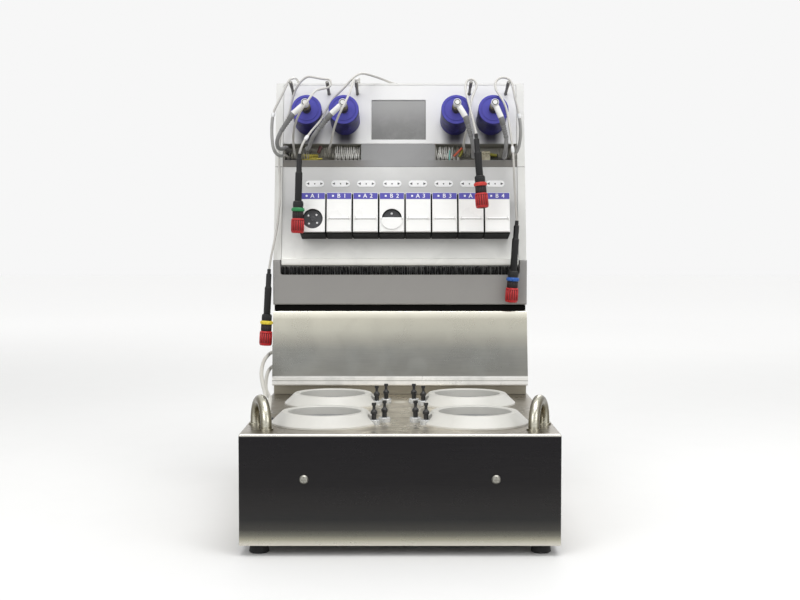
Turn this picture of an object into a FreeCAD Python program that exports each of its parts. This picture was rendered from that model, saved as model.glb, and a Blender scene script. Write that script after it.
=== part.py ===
import FreeCAD, Part
import math
import os

# Bench bioreactor: a steel base box with four heated wells, and a leaning tower behind it.
# Millimetres. While building, Y is measured from the front face of the base towards the back,
# and the bench lies at the height BENCH. Every shape moves forward by half the depth and up
# by -BENCH when it is written, so that the origin is the middle of the footprint, on the
# bench. +Z is up and the front faces -Y.

# ---- driving dimensions ------------------------------------------------------------------
WIDTH = 280.0
BASE_WIDTH = 284.0
DEPTH = 440.0
BENCH = -4.5
BASE_TOP = 104.0
TOWER_TOP = 451.0
LEAN = 12.0
FOOT_RADIUS = 9.0
FOOT_HEIGHT = 9.5
FOOT_TAPER = 1.0
STUD_PROUD = 3.0
FOOT_INSET = 16.0
FLOOR_SLOTS = 9
FLOOR_SLOT_WIDTH = 4.0
BASE_SHEET = 1.5
EDGE_BEND = 2.0
FIT = 0.3

WELL_RADIUS = 34.0
WELL_PITCH_X = 140.0
WELL_PITCH_Y = 140.0
FIRST_ROW_Y = 72.0
CUP_WALL = 2.5
CUP_FLOOR = 4.0
CUP_DEPTH = 62.0
CUP_FLANGE_WIDTH = 7.0
CUP_FLANGE_THICK = 3.0
COLLAR_RADIUS = 50.0
COLLAR_HEIGHT = 11.0
COLLAR_LAND = 6.0
COLLAR_RIM = 1.5
TOP_CHAMFER = 0.8
SINK_PLATE = 6.0
SINK_SIZE = 70.0
FIN_PITCH = 7.0
FIN_THICK = 2.0
FIN_BOTTOM = 14.0

SOCKET_RADIUS = 5.6
SOCKET_HEIGHT = 4.6
SOCKET_BORE = 1.75
SOCKET_STEM = 3.0
SOCKET_STEM_LENGTH = 6.0
PLUG_HEIGHT = 15.4
PLUG_DEPTH = 6.0
PLUG_FOOT_RADIUS = 2.3
PLUG_GRIP_RADIUS = 3.1
PLUG_NECK_RADIUS = 1.4
PLUG_HEAD_RADIUS = 2.1
OUTER_SOCKET = (24.0, -13.0)
INNER_SOCKET = (14.5, 3.0)

HANDLE_TUBE_RADIUS = 5.0
HANDLE_SPAN = 42.0
HANDLE_LEG = 2.0
HANDLE_TURN = 19.0
HANDLE_X = 126.6
HANDLE_Y = 43.5
FLANGE_RADIUS = 6.5
FLANGE_THICK = 1.5
STUD_RADIUS = 2.0
STUD_LENGTH = 7.0

SCREW_HEAD_RADIUS = 4.0
SCREW_HEAD_THICK = 2.2
SCREW_SHANK_RADIUS = 2.0
SCREW_LENGTH = 9.0
SCREW_SLOT = 0.9
SCREW_X = 84.5
SCREW_Z = 63.8

TOWER_FRONT = 294.0
PANEL_FOOT_Z = 254.0
SHELL_SHEET = 2.0
SHELL_FLANGE = 8.5
SHELL_INSET = 0.5
BACK_FLANGE = 10.0
SPLASH_NOSE_Y = 277.0
SPLASH_BOTTOM = 115.0
SPLASH_TOP = 196.0
SPLASH_BACK_Y = 302.0
COVER_SHEET = 1.5
FASCIA_Y = 292.0
FASCIA_BOTTOM = 203.0
FASCIA_EAR = 8.0
FASCIA_TOP = 252.0
SLOT_BOTTOM = 236.0
SLOT_TOP = 245.5
LIP_BOTTOM = 246.2
LIP_PROUD = 1.4
LIP_DEPTH = 4.5
PLINTH_Y = 290.0
PANEL_THICK = 3.0
SHELF_BOTTOM = 104.3
SHELF_LIP = 7.6
SHELF_TOP = 130.6
SHELF_COVER_LEFT = -43.6
SHELF_COVER_RIGHT = 39.0
TRAY_DEPTH = 19.5
TRAY_WALL = 1.5
PANEL_GAP = 0.4
PANEL_FOOT_OVERLAP = 1.2

PUMP_COUNT = 8
PUMP_PITCH = 28.7
PUMP_CENTRE_X = 5.5
PUMP_WIDTH = 26.9
PUMP_BOTTOM = 22.0
PUMP_TOP = 67.4
PUMP_PROUD = 29.0
PUMP_FACE_THICK = 2.0
PUMP_FACE_LIFT = 1.5
AXLE_HEIGHT = 38.4
CHAMBER_RADIUS = 11.0
CHAMBER_FLOOR = 6.0
ROTOR_RADIUS = 10.3
ROTOR_FRONT = 25.0
ROTOR_BACK = 9.0
ROTOR_DISC = 2.0
ROTOR_HUB = 3.4
ROLLER_RADIUS = 3.0
ROLLER_CIRCLE = 6.3
SHAFT_RADIUS = 2.5
SHAFT_TAIL = -5.0
MOTOR_RADIUS = 10.0
MOTOR_LENGTH = 42.0
MOTOR_NOSE = 5.0
LID_RADIUS = 12.3
LID_THICK = 0.8
LID_PIN_RADIUS = 0.6
LID_EYE_WIDTH = 1.4
COVER_THICK = 1.4
LID_GAP = 0.2
EYE_WALL = 0.7
COVER_DROP = 0.5
OPEN_LID = 4
ROTOR_ANGLES = (50.0, 20.0, 65.0, 92.0, 10.0, 35.0, 80.0, 55.0)

WINDOW_CENTRE_X = -1.5
WINDOW_WIDTH = 61.0
WINDOW_BOTTOM = 135.6
WINDOW_TOP = 182.0
GLASS_RECESS = 1.0
GLASS_THICK = 1.5

DRIVE_RADIUS = 16.5
DRIVE_LENGTH = 42.0
DRIVE_HEIGHT = 157.4
DRIVE_X = (-102.0, -61.5, 61.5, 102.0)
DRIVE_SPIGOT = 6.0
NUT_RADIUS = 5.2
NUT_END = 55.0
HEAD_RADIUS = 4.2
HEAD_END = 67.5
ARM_PLANE = 63.0
ARM_RADIUS = 3.2
ARM_LENGTH = 18.0
BOOT_LENGTH = 22.0
BOOT_DROOP = 20.0

PEG_RADIUS = 1.65
PEG_LENGTH = 40.0
PEG_HEIGHT = 189.0
PEG_X = (-120.0, -80.0, -48.0, 78.0, 119.0)

DRIVE_CABLE = 2.15
SENSOR_CABLE = 1.25
SIDE_CABLE = 2.0

# ---- values worked out from them ---------------------------------------------------------
HALF = WIDTH / 2
BASE_HALF = BASE_WIDTH / 2
FLOOR_BOTTOM = BENCH + FOOT_HEIGHT
FLOOR_TOP = FLOOR_BOTTOM + BASE_SHEET
SLOPE = math.radians(LEAN)
WELLS = [
    (side * WELL_PITCH_X / 2, FIRST_ROW_Y + row * WELL_PITCH_Y)
    for row in (0, 1)
    for side in (-1, 1)
]
CUP_RADIUS = WELL_RADIUS + CUP_WALL
CUP_BOTTOM = BASE_TOP - CUP_DEPTH - CUP_FLOOR
PANEL_HALF = HALF - SHELL_INSET - SHELL_FLANGE - PANEL_GAP
UPPER_TOP = (TOWER_TOP - SHELL_SHEET - PANEL_GAP - PANEL_FOOT_Z) / math.cos(SLOPE)
PUMPS = [PUMP_CENTRE_X + (i - (PUMP_COUNT - 1) / 2) * PUMP_PITCH for i in range(PUMP_COUNT)]
LID_AXIS = PUMP_PROUD + COVER_THICK + LID_GAP


# ---- helpers -----------------------------------------------------------------------------
def vec(x, y, z):
    return FreeCAD.Vector(x, y, z)


def block(x, y, z):
    """A box from three (low, high) pairs."""
    shape = Part.makeBox(x[1] - x[0], y[1] - y[0], z[1] - z[0])
    shape.translate(vec(x[0], y[0], z[0]))
    return shape


def rod(start, direction, radius, length):
    return Part.makeCylinder(radius, length, vec(*start), vec(*direction))


def turned(profile):
    """A solid of revolution about Z from (radius, height) points."""
    points = [vec(r, 0, z) for r, z in profile]
    face = Part.Face(Part.makePolygon(points + points[:1]))
    return face.revolve(vec(0, 0, 0), vec(0, 0, 1), 360)


def side_prism(profile, half_width):
    """Extrudes (y, z) points from -half_width to +half_width along X."""
    points = [vec(-half_width, y, z) for y, z in profile]
    face = Part.Face(Part.makePolygon(points + points[:1]))
    return face.extrude(vec(2 * half_width, 0, 0))


def leaned(shape):
    """Takes a shape from upright panel axes to the leaning front of the tower.

    In panel axes X is across, Z runs up the slope from the panel's foot, and -Y points out."""
    copy = shape.copy()
    copy.rotate(vec(0, 0, 0), vec(1, 0, 0), -LEAN)
    copy.translate(vec(0, TOWER_FRONT, PANEL_FOOT_Z))
    return copy


def slab(x, v, n):
    """A box in panel axes: across, up the slope, and out from the panel's face."""
    return block(x, (-n[1], -n[0]), v)


def post(x, v, n0, n1, radius):
    """A cylinder in panel axes that stands out from the panel's face, from n0 to n1."""
    return rod((x, -n0, v), (0, -1, 0), radius, n1 - n0)


def slope_y(z):
    """Y of the panel's face at the height z."""
    return TOWER_FRONT + (z - PANEL_FOOT_Z) * math.tan(SLOPE)


def joined(shapes):
    """One solid of shapes that overlap."""
    whole = shapes[0]
    for shape in shapes[1:]:
        whole = whole.fuse(shape)
    return whole.removeSplitter()


def cut_all(shape, tools):
    for tool in tools:
        shape = shape.cut(tool)
    return shape


def softened(shape, radius, wanted):
    """Rounds the edges that the wanted test picks by their centre."""
    edges = [edge for edge in shape.Edges if wanted(edge.CenterOfMass, edge)]
    return shape.makeFillet(radius, edges)


def save(name, shapes):
    """Writes one node, moved so that the origin is the middle of the footprint on the bench."""
    if not isinstance(shapes, list):
        shapes = [shapes]
    moved = []
    for shape in shapes:
        copy = shape.copy()
        copy.translate(vec(0, -DEPTH / 2, -BENCH))
        moved.append(copy)
    whole = moved[0] if len(moved) == 1 else Part.makeCompound(moved)
    whole.exportStep("parts/" + name + ".step")
    print(name, len(whole.Solids), "solids", round(whole.Volume), "mm3", whole.isValid())


# ---- base --------------------------------------------------------------------------------
def socket_places():
    """Two sensor sockets beside each well, on the side towards the middle of the base."""
    places = []
    for x, y in WELLS:
        side = 1 if x > 0 else -1
        for dx, dy in (OUTER_SOCKET, INNER_SOCKET):
            places.append((side * dx, y + dy))
    return places


def handle_feet(side):
    """The front and rear foot of one handle, which stands turned outwards at the back."""
    turn = math.radians(HANDLE_TURN)
    reach = HANDLE_SPAN / 2
    dx = side * reach * math.sin(turn)
    dy = reach * math.cos(turn)
    centre_x = side * HANDLE_X
    return (centre_x - dx, HANDLE_Y - dy), (centre_x + dx, HANDLE_Y + dy)


GROMMETS = ((-124.3, 88.6), (-130.0, 100.3))
GROMMET_HOLE = SIDE_CABLE + 2.0
GROMMET_RIM = 1.2
GROMMET_PROUD = 2.0
# How far the opening from the base up into the tower stays from the tower's front and back.
CABLE_WAY_MARGIN = 40.0


def top_hole(x, y, radius):
    """A cutter through the base's top sheet."""
    return rod((x, y, BASE_TOP - BASE_SHEET - 1), (0, 0, 1), radius, BASE_SHEET + 2)


def base_housing():
    """A folded sheet box, open below, with the holes for everything that its top carries."""
    outer = block((-BASE_HALF, BASE_HALF), (0, DEPTH), (FLOOR_BOTTOM, BASE_TOP))
    outer = softened(outer, EDGE_BEND, lambda c, e: c.z > FLOOR_BOTTOM + 1)
    inner = block(
        (-BASE_HALF + BASE_SHEET, BASE_HALF - BASE_SHEET),
        (BASE_SHEET, DEPTH - BASE_SHEET),
        (FLOOR_BOTTOM - 1, BASE_TOP - BASE_SHEET),
    )
    shell = outer.cut(inner)
    tools = []
    for x, y in WELLS:
        tools.append(top_hole(x, y, CUP_RADIUS + FIT))
    for x, y in socket_places():
        tools.append(top_hole(x, y, SOCKET_STEM + FIT))
    for side in (-1, 1):
        for x, y in handle_feet(side):
            tools.append(top_hole(x, y, STUD_RADIUS + FIT))
    for x, y in GROMMETS:
        tools.append(top_hole(x, y, GROMMET_HOLE))
    for x in (-SCREW_X, SCREW_X):
        tools.append(rod((x, -1, SCREW_Z), (0, 1, 0), SCREW_SHANK_RADIUS + FIT, DEPTH + 2))
    cable_way = (TOWER_FRONT + CABLE_WAY_MARGIN, DEPTH - CABLE_WAY_MARGIN)
    tools.append(block((-HALF / 2, HALF / 2), cable_way, (BASE_TOP - BASE_SHEET - 1, BASE_TOP + 1)))
    return cut_all(shell, tools)


def foot_places():
    """The middles of the four feet."""
    places = []
    for x in (-BASE_HALF + FOOT_INSET, BASE_HALF - FOOT_INSET):
        for y in (FOOT_INSET + 2, DEPTH - FOOT_INSET - 2):
            places.append((x, y))
    return places


def base_floor():
    """The bottom sheet, with a row of cooling slots on each side."""
    edge = BASE_SHEET + FIT
    floor = block((-BASE_HALF + edge, BASE_HALF - edge), (edge, DEPTH - edge),
                  (FLOOR_BOTTOM, FLOOR_TOP))
    tools = [
        rod((x, y, BENCH), (0, 0, 1), STUD_RADIUS + FIT, FLOOR_TOP + 1 - BENCH)
        for x, y in foot_places()
    ]
    slot_pitch = DEPTH / (FLOOR_SLOTS + 3)
    half_width = FLOOR_SLOT_WIDTH / 2
    for i in range(FLOOR_SLOTS):
        y = DEPTH / 2 + (i - (FLOOR_SLOTS - 1) / 2) * slot_pitch
        for side in (-1, 1):
            middle = side * WIDTH / 4
            half_slot = WIDTH / 9
            tools.append(block((middle - half_slot, middle + half_slot),
                               (y - half_width, y + half_width), (BENCH, FLOOR_TOP + 1)))
    return cut_all(floor, tools)


def base_feet():
    """Rubber feet with a steel stud that passes through the floor."""
    feet = []
    for x, y in foot_places():
        foot = turned([
            (0, BENCH),
            (FOOT_RADIUS - FOOT_TAPER, BENCH),
            (FOOT_RADIUS, BENCH + FOOT_TAPER),
            (FOOT_RADIUS - FOOT_TAPER, FLOOR_BOTTOM),
            (STUD_RADIUS, FLOOR_BOTTOM),
            (STUD_RADIUS, FLOOR_TOP + STUD_PROUD),
            (0, FLOOR_TOP + STUD_PROUD),
        ])
        foot.translate(vec(x, y, 0))
        feet.append(foot)
    return feet


def panel_screws():
    """Pan-head screws with a cross recess, two in the front face and two in the back."""
    screw = turned([
        (0, -SCREW_LENGTH),
        (SCREW_SHANK_RADIUS, -SCREW_LENGTH),
        (SCREW_SHANK_RADIUS, 0),
        (SCREW_HEAD_RADIUS, 0),
        (SCREW_HEAD_RADIUS, SCREW_HEAD_THICK * 0.5),
        (SCREW_HEAD_RADIUS * 0.75, SCREW_HEAD_THICK * 0.9),
        (SCREW_HEAD_RADIUS * 0.4, SCREW_HEAD_THICK),
        (0, SCREW_HEAD_THICK),
    ])
    arm = SCREW_HEAD_RADIUS * 0.6
    depth = (SCREW_HEAD_THICK * 0.4, SCREW_HEAD_THICK + 1)
    slot = (-SCREW_SLOT / 2, SCREW_SLOT / 2)
    screw = cut_all(screw, [block((-arm, arm), slot, depth), block(slot, (-arm, arm), depth)])
    screws = []
    for x in (-SCREW_X, SCREW_X):
        for y, turn in ((0, 90), (DEPTH, -90)):
            copy = screw.copy()
            copy.rotate(vec(0, 0, 0), vec(1, 0, 0), turn)
            copy.translate(vec(x, y, SCREW_Z))
            screws.append(copy)
    return screws


def well_collar(x, y):
    """A white ring with a conical flank, notched where a sensor socket stands beside it."""
    flange = CUP_RADIUS + CUP_FLANGE_WIDTH - CUP_WALL + FIT
    recess = CUP_FLANGE_THICK + FIT / 3
    ring = turned([
        (WELL_RADIUS, recess),
        (flange, recess),
        (flange, 0),
        (COLLAR_RADIUS, 0),
        (COLLAR_RADIUS, COLLAR_RIM),
        (WELL_RADIUS + COLLAR_LAND, COLLAR_HEIGHT),
        (WELL_RADIUS + TOP_CHAMFER, COLLAR_HEIGHT),
        (WELL_RADIUS, COLLAR_HEIGHT - TOP_CHAMFER),
    ])
    ring.translate(vec(x, y, BASE_TOP))
    for sx, sy in socket_places():
        if math.hypot(sx - x, sy - y) < COLLAR_RADIUS + SOCKET_RADIUS + FIT:
            notch = rod((sx, sy, BASE_TOP - 1), (0, 0, 1), SOCKET_RADIUS + FIT, COLLAR_HEIGHT + 2)
            ring = ring.cut(notch)
    return ring


def well_cup(x, y):
    """The aluminium cup under a collar. Its flange lies on the base's top sheet."""
    flange = CUP_RADIUS + CUP_FLANGE_WIDTH - CUP_WALL
    cup = turned([
        (0, CUP_BOTTOM),
        (CUP_RADIUS, CUP_BOTTOM),
        (CUP_RADIUS, BASE_TOP),
        (flange, BASE_TOP),
        (flange, BASE_TOP + CUP_FLANGE_THICK),
        (WELL_RADIUS, BASE_TOP + CUP_FLANGE_THICK),
        (WELL_RADIUS, CUP_BOTTOM + CUP_FLOOR),
        (0, CUP_BOTTOM + CUP_FLOOR),
    ])
    cup.translate(vec(x, y, 0))
    return cup


def heat_sink(x, y):
    """A finned block that is bolted flat to the underside of a cup."""
    half = SINK_SIZE / 2
    plate = block((x - half, x + half), (y - half, y + half), (CUP_BOTTOM - SINK_PLATE, CUP_BOTTOM))
    fins = []
    fin_count = int(SINK_SIZE // FIN_PITCH)
    for i in range(fin_count):
        left = x + (i - (fin_count - 1) / 2) * FIN_PITCH - FIN_THICK / 2
        fins.append(block(
            (left, left + FIN_THICK),
            (y - half, y + half),
            (FIN_BOTTOM, CUP_BOTTOM - SINK_PLATE + 1),
        ))
    return joined([plate] + fins)


def handle(side):
    """A bent steel rod on two round flanges, each with a stud through the base's top."""
    front, rear = handle_feet(side)
    arch_z = BASE_TOP + FLANGE_THICK + HANDLE_LEG
    section = Part.Face(Part.Wire(Part.makeCircle(
        HANDLE_TUBE_RADIUS, vec(front[0], front[1], arch_z), vec(0, 0, 1))))
    across = vec(rear[0] - front[0], rear[1] - front[1], 0)
    hinge = across.cross(vec(0, 0, 1))
    middle = vec((front[0] + rear[0]) / 2, (front[1] + rear[1]) / 2, arch_z)
    arch = section.revolve(middle, hinge * -1, 180)
    pieces = [arch]
    for x, y in (front, rear):
        pieces.append(rod((x, y, BASE_TOP), (0, 0, 1), HANDLE_TUBE_RADIUS, arch_z - BASE_TOP))
        pieces.append(rod((x, y, BASE_TOP), (0, 0, 1), FLANGE_RADIUS, FLANGE_THICK))
        pieces.append(rod((x, y, BASE_TOP - STUD_LENGTH), (0, 0, 1), STUD_RADIUS, STUD_LENGTH + 1))
    return joined(pieces)


def sensor_socket(x, y):
    """A clear ring beside a well, with a stem through the base's top."""
    socket = turned([
        (SOCKET_BORE, BASE_TOP - SOCKET_STEM_LENGTH),
        (SOCKET_STEM, BASE_TOP - SOCKET_STEM_LENGTH),
        (SOCKET_STEM, BASE_TOP),
        (SOCKET_RADIUS, BASE_TOP),
        (SOCKET_RADIUS, BASE_TOP + SOCKET_HEIGHT - TOP_CHAMFER),
        (SOCKET_RADIUS - TOP_CHAMFER, BASE_TOP + SOCKET_HEIGHT),
        (SOCKET_BORE, BASE_TOP + SOCKET_HEIGHT),
    ])
    socket.translate(vec(x, y, 0))
    return socket


def dust_plug(x, y):
    """A black plug that stands in a sensor socket."""
    seat = BASE_TOP + SOCKET_HEIGHT
    plug = turned([
        (0, seat - PLUG_DEPTH),
        (SOCKET_BORE - FIT / 3, seat - PLUG_DEPTH),
        (SOCKET_BORE - FIT / 3, seat),
        (PLUG_FOOT_RADIUS, seat),
        (PLUG_FOOT_RADIUS, seat + PLUG_HEIGHT * 0.30),
        (PLUG_GRIP_RADIUS, seat + PLUG_HEIGHT * 0.34),
        (PLUG_GRIP_RADIUS, seat + PLUG_HEIGHT * 0.48),
        (PLUG_NECK_RADIUS, seat + PLUG_HEIGHT * 0.62),
        (PLUG_NECK_RADIUS, seat + PLUG_HEIGHT * 0.82),
        (PLUG_HEAD_RADIUS, seat + PLUG_HEIGHT * 0.86),
        (PLUG_HEAD_RADIUS, seat + PLUG_HEIGHT),
        (0, seat + PLUG_HEIGHT),
    ])
    plug.translate(vec(x, y, 0))
    return plug


def cable_grommets():
    """Rubber rings where the two side cables pass through the base's top."""
    rings = []
    for x, y in GROMMETS:
        ring = turned([
            (SIDE_CABLE + 2 * FIT, BASE_TOP - BASE_SHEET - 1),
            (GROMMET_HOLE - FIT / 3, BASE_TOP - BASE_SHEET - 1),
            (GROMMET_HOLE - FIT / 3, BASE_TOP),
            (GROMMET_HOLE + GROMMET_RIM, BASE_TOP),
            (GROMMET_HOLE + GROMMET_RIM / 2, BASE_TOP + GROMMET_PROUD),
            (SIDE_CABLE + 2 * FIT, BASE_TOP + GROMMET_PROUD),
        ])
        ring.translate(vec(x, y, 0))
        rings.append(ring)
    return rings


# ---- tower -------------------------------------------------------------------------------
def tower_profile(inset):
    """The tower's outline in (y, z), stepped back behind the splash plate and the fascia."""
    step = SPLASH_BACK_Y + FIT + inset
    slope_in = inset / math.cos(SLOPE)
    lip_z = FASCIA_TOP + FIT + inset
    top = TOWER_TOP - inset
    return [
        (PLINTH_Y + inset, BASE_TOP - (1 if inset else 0)),
        (PLINTH_Y + inset, SPLASH_BOTTOM - FIT - inset),
        (step, SPLASH_BOTTOM - FIT - inset),
        (step, lip_z),
        (slope_y(lip_z) + slope_in, lip_z),
        (slope_y(top) + slope_in, top),
        (DEPTH - inset, top),
        (DEPTH - inset, BASE_TOP - (1 if inset else 0)),
    ]


def tower_shell():
    """A folded sheet body with flanges beside the leaning panels and round the back opening."""
    half = HALF - SHELL_INSET
    outer = side_prism(tower_profile(0), half)
    inner = side_prism(tower_profile(SHELL_SHEET), half - SHELL_SHEET)
    opening = half - SHELL_FLANGE
    front = slab((-opening, opening), (-PANEL_FOOT_OVERLAP, UPPER_TOP + PANEL_GAP), (-12, 12))
    back = block(
        (-half + BACK_FLANGE, half - BACK_FLANGE),
        (DEPTH - SHELL_SHEET - 1, DEPTH + 1),
        (BASE_TOP + BACK_FLANGE, TOWER_TOP - BACK_FLANGE),
    )
    shell = outer.cut(inner)
    shell = shell.cut(leaned(front))
    shell = shell.cut(back)
    lip = LIP_DEPTH - LIP_PROUD + PANEL_GAP
    shell = shell.cut(block((-PANEL_HALF - PANEL_GAP, PANEL_HALF + PANEL_GAP),
                            (TOWER_FRONT - LIP_DEPTH, TOWER_FRONT + lip),
                            (LIP_BOTTOM, PANEL_FOOT_Z + 1)))
    return shell


VENT_COUNT = 12
VENT_PITCH = 9.0


def tower_back():
    """A plain plate over the back opening, fixed inside the flanges, with a block of vents."""
    half = HALF - SHELL_INSET - SHELL_SHEET - FIT
    front = DEPTH - SHELL_SHEET - BASE_SHEET
    plate = block((-half, half), (front, DEPTH - SHELL_SHEET), (BASE_TOP + FIT, TOWER_TOP - 3))
    tools = []
    for i in range(VENT_COUNT):
        z = (BASE_TOP + TOWER_TOP) / 2 + (i - VENT_COUNT / 2) * VENT_PITCH
        tools.append(block((-HALF / 2, HALF / 2), (front - 1, DEPTH + 1), (z, z + 4)))
    return cut_all(plate, tools)


def splash_plate():
    """A folded cover with a rounded nose at the foot, closed at both ends."""
    nose_top = SPLASH_BOTTOM + 9
    rise = (SPLASH_TOP - nose_top) * math.tan(SLOPE)
    outer = side_prism([
        (SPLASH_BACK_Y, SPLASH_BOTTOM),
        (SPLASH_NOSE_Y, SPLASH_BOTTOM),
        (SPLASH_NOSE_Y, nose_top),
        (SPLASH_NOSE_Y + rise, SPLASH_TOP),
        (SPLASH_BACK_Y, SPLASH_TOP),
    ], HALF)
    outer = softened(outer, 1.8, lambda c, e: c.y < SPLASH_NOSE_Y + 1 and e.Length > WIDTH - 1
                     and c.z < nose_top - 1)
    outer = softened(outer, 1.2, lambda c, e: abs(c.z - SPLASH_TOP) < 0.1 and e.Length > WIDTH - 9
                     and c.y < SPLASH_BACK_Y - 1)
    sheet = COVER_SHEET
    inner = side_prism([
        (SPLASH_BACK_Y + 1, SPLASH_BOTTOM + sheet),
        (SPLASH_NOSE_Y + sheet, SPLASH_BOTTOM + sheet),
        (SPLASH_NOSE_Y + sheet, nose_top),
        (SPLASH_NOSE_Y + rise + sheet, SPLASH_TOP - sheet),
        (SPLASH_BACK_Y + 1, SPLASH_TOP - sheet),
    ], HALF - sheet)
    inner = softened(inner, 0.6, lambda c, e: c.y < SPLASH_NOSE_Y + sheet + 1
                     and e.Length > WIDTH - 9 and c.z < nose_top - 1)
    return outer.cut(inner)


def lower_fascia():
    """A grey cover under the cable slot, with an ear up each side of the slot."""
    sheet = COVER_SHEET
    outer = block((-HALF, HALF), (FASCIA_Y, SPLASH_BACK_Y), (FASCIA_BOTTOM, FASCIA_TOP))
    outer = softened(outer, 1.5, lambda c, e: c.y < FASCIA_Y + 0.1)
    inner = block(
        (-HALF + sheet, HALF - sheet),
        (FASCIA_Y + sheet, SPLASH_BACK_Y + 1),
        (FASCIA_BOTTOM + sheet, FASCIA_TOP - sheet),
    )
    slot = block(
        (-HALF + FASCIA_EAR, HALF - FASCIA_EAR),
        (FASCIA_Y - 1, SPLASH_BACK_Y + 1),
        (SLOT_BOTTOM, FASCIA_TOP + 9),
    )
    slot = softened(slot, 3.0, lambda c, e: abs(c.z - SLOT_BOTTOM) < 0.1 and e.Length < 20)
    return outer.cut(inner).cut(slot)


def slot_brush():
    """The black brush strip that closes the cable slot, in a rail behind the fascia."""
    half = HALF - FASCIA_EAR - FIT
    front = FASCIA_Y + COVER_SHEET + FIT
    rail = block((-half, half), (front, SPLASH_BACK_Y - 2), (SLOT_BOTTOM - 16, SLOT_BOTTOM - 6))
    bristles = block((-half, half), (front + 0.7, front + 3.7), (SLOT_BOTTOM - 7, SLOT_TOP))
    return joined([rail, bristles])


def pump_panel():
    """The lower leaning panel with a rounded lip at its foot, bored for the eight motors."""
    plate = leaned(slab((-PANEL_HALF, PANEL_HALF), (0, SHELF_BOTTOM - PANEL_GAP),
                        (-PANEL_THICK, 0)))
    front = TOWER_FRONT - LIP_PROUD
    lip = block((-PANEL_HALF, PANEL_HALF), (front, front + LIP_DEPTH),
                (LIP_BOTTOM, PANEL_FOOT_Z + 0.6))
    lip = softened(lip, 1.6, lambda c, e: c.y < front + 0.1 and e.Length > WIDTH / 2)
    panel = joined([plate, lip])
    holes = [
        leaned(post(x, AXLE_HEIGHT, -PANEL_THICK - 9, 9, MOTOR_NOSE + FIT)) for x in PUMPS
    ]
    return cut_all(panel, holes)


def shelf_cover():
    """The grey lip under the cable shelf, with the cover between the two recesses."""
    lip = slab((-PANEL_HALF, PANEL_HALF), (SHELF_BOTTOM, SHELF_BOTTOM + SHELF_LIP),
               (-PANEL_THICK, 0))
    cover = slab((SHELF_COVER_LEFT, SHELF_COVER_RIGHT), (SHELF_BOTTOM, SHELF_TOP),
                 (-PANEL_THICK, 0))
    return leaned(joined([lip, cover]))


def shelf_spans():
    """The two recesses of the cable shelf, across."""
    return (-PANEL_HALF, SHELF_COVER_LEFT), (SHELF_COVER_RIGHT, PANEL_HALF)


TRAY_BACK = -PANEL_THICK - TRAY_DEPTH
TRAY_FLOOR = SHELF_BOTTOM + SHELF_LIP - 1.2
TRAY_CEILING = SHELF_TOP + 1.2


def port_trays():
    """A sheet tray behind each recess, open to the front."""
    trays = []
    for left, right in shelf_spans():
        outer = slab(
            (left, right + (TRAY_WALL if right < 0 else 0)),
            (TRAY_FLOOR - TRAY_WALL, TRAY_CEILING + TRAY_WALL),
            (TRAY_BACK, -PANEL_THICK),
        )
        inner = slab(
            (left + TRAY_WALL, right - (0 if right < 0 else TRAY_WALL)),
            (TRAY_FLOOR, TRAY_CEILING),
            (TRAY_BACK + TRAY_WALL, 0),
        )
        trays.append(leaned(outer.cut(inner)))
    return trays


def upper_panel():
    """The upper leaning panel with the display window and the holes behind drives and pegs."""
    plate = slab((-PANEL_HALF, PANEL_HALF), (SHELF_TOP + PANEL_GAP, UPPER_TOP), (-PANEL_THICK, 0))
    half_window = WINDOW_WIDTH / 2
    window = slab((WINDOW_CENTRE_X - half_window, WINDOW_CENTRE_X + half_window),
                  (WINDOW_BOTTOM, WINDOW_TOP), (-9, 9))
    tools = [window]
    for x in DRIVE_X:
        tools.append(post(x, DRIVE_HEIGHT, -9, 9, DRIVE_SPIGOT + FIT))
    for x in PEG_X:
        tools.append(post(x, PEG_HEIGHT, -9, 9, PEG_RADIUS + FIT))
    return leaned(cut_all(plate, tools))


def display_glass():
    """The display, set back in its window."""
    half = WINDOW_WIDTH / 2 - FIT
    return leaned(slab(
        (WINDOW_CENTRE_X - half, WINDOW_CENTRE_X + half),
        (WINDOW_BOTTOM + FIT, WINDOW_TOP - FIT),
        (-GLASS_RECESS - GLASS_THICK, -GLASS_RECESS),
    ))


def cable_pegs():
    """Steel pegs screwed through the upper panel, each with a washer behind it."""
    pegs = []
    for x in PEG_X:
        stem = post(x, PEG_HEIGHT, -PANEL_THICK - 6, PEG_LENGTH, PEG_RADIUS)
        stem = softened(stem, 0.6, lambda c, e: c.y < -PEG_LENGTH + 0.1)
        washer = post(x, PEG_HEIGHT, -PANEL_THICK - 1.5, -PANEL_THICK, PEG_RADIUS + 2)
        pegs.append(leaned(joined([stem, washer])))
    return pegs


# ---- pump bank ---------------------------------------------------------------------------
def pump_housing(x):
    """The black body of one pump, bored out for its rotor."""
    half = PUMP_WIDTH / 2
    body_front = PUMP_PROUD - PUMP_FACE_THICK
    body = slab((x - half, x + half), (PUMP_BOTTOM, PUMP_TOP), (0, body_front))
    chamber = post(x, AXLE_HEIGHT, CHAMBER_FLOOR, body_front + 9, CHAMBER_RADIUS)
    bore = post(x, AXLE_HEIGHT, -9, CHAMBER_FLOOR + 1, SHAFT_RADIUS + FIT)
    nose = post(x, AXLE_HEIGHT, -9, 2, MOTOR_NOSE + FIT)
    return leaned(cut_all(body, [chamber, bore, nose]))


def pump_face(x):
    """The white front plate of one pump, with its round window, short of the body's foot."""
    half = PUMP_WIDTH / 2
    plate = slab((x - half, x + half), (PUMP_BOTTOM + PUMP_FACE_LIFT, PUMP_TOP),
                 (PUMP_PROUD - PUMP_FACE_THICK, PUMP_PROUD))
    plate = softened(plate, 0.6, lambda c, e: c.y < -PUMP_PROUD + 0.1)
    return leaned(plate.cut(post(x, AXLE_HEIGHT, 0, PUMP_PROUD + 9, CHAMBER_RADIUS)))


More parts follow.
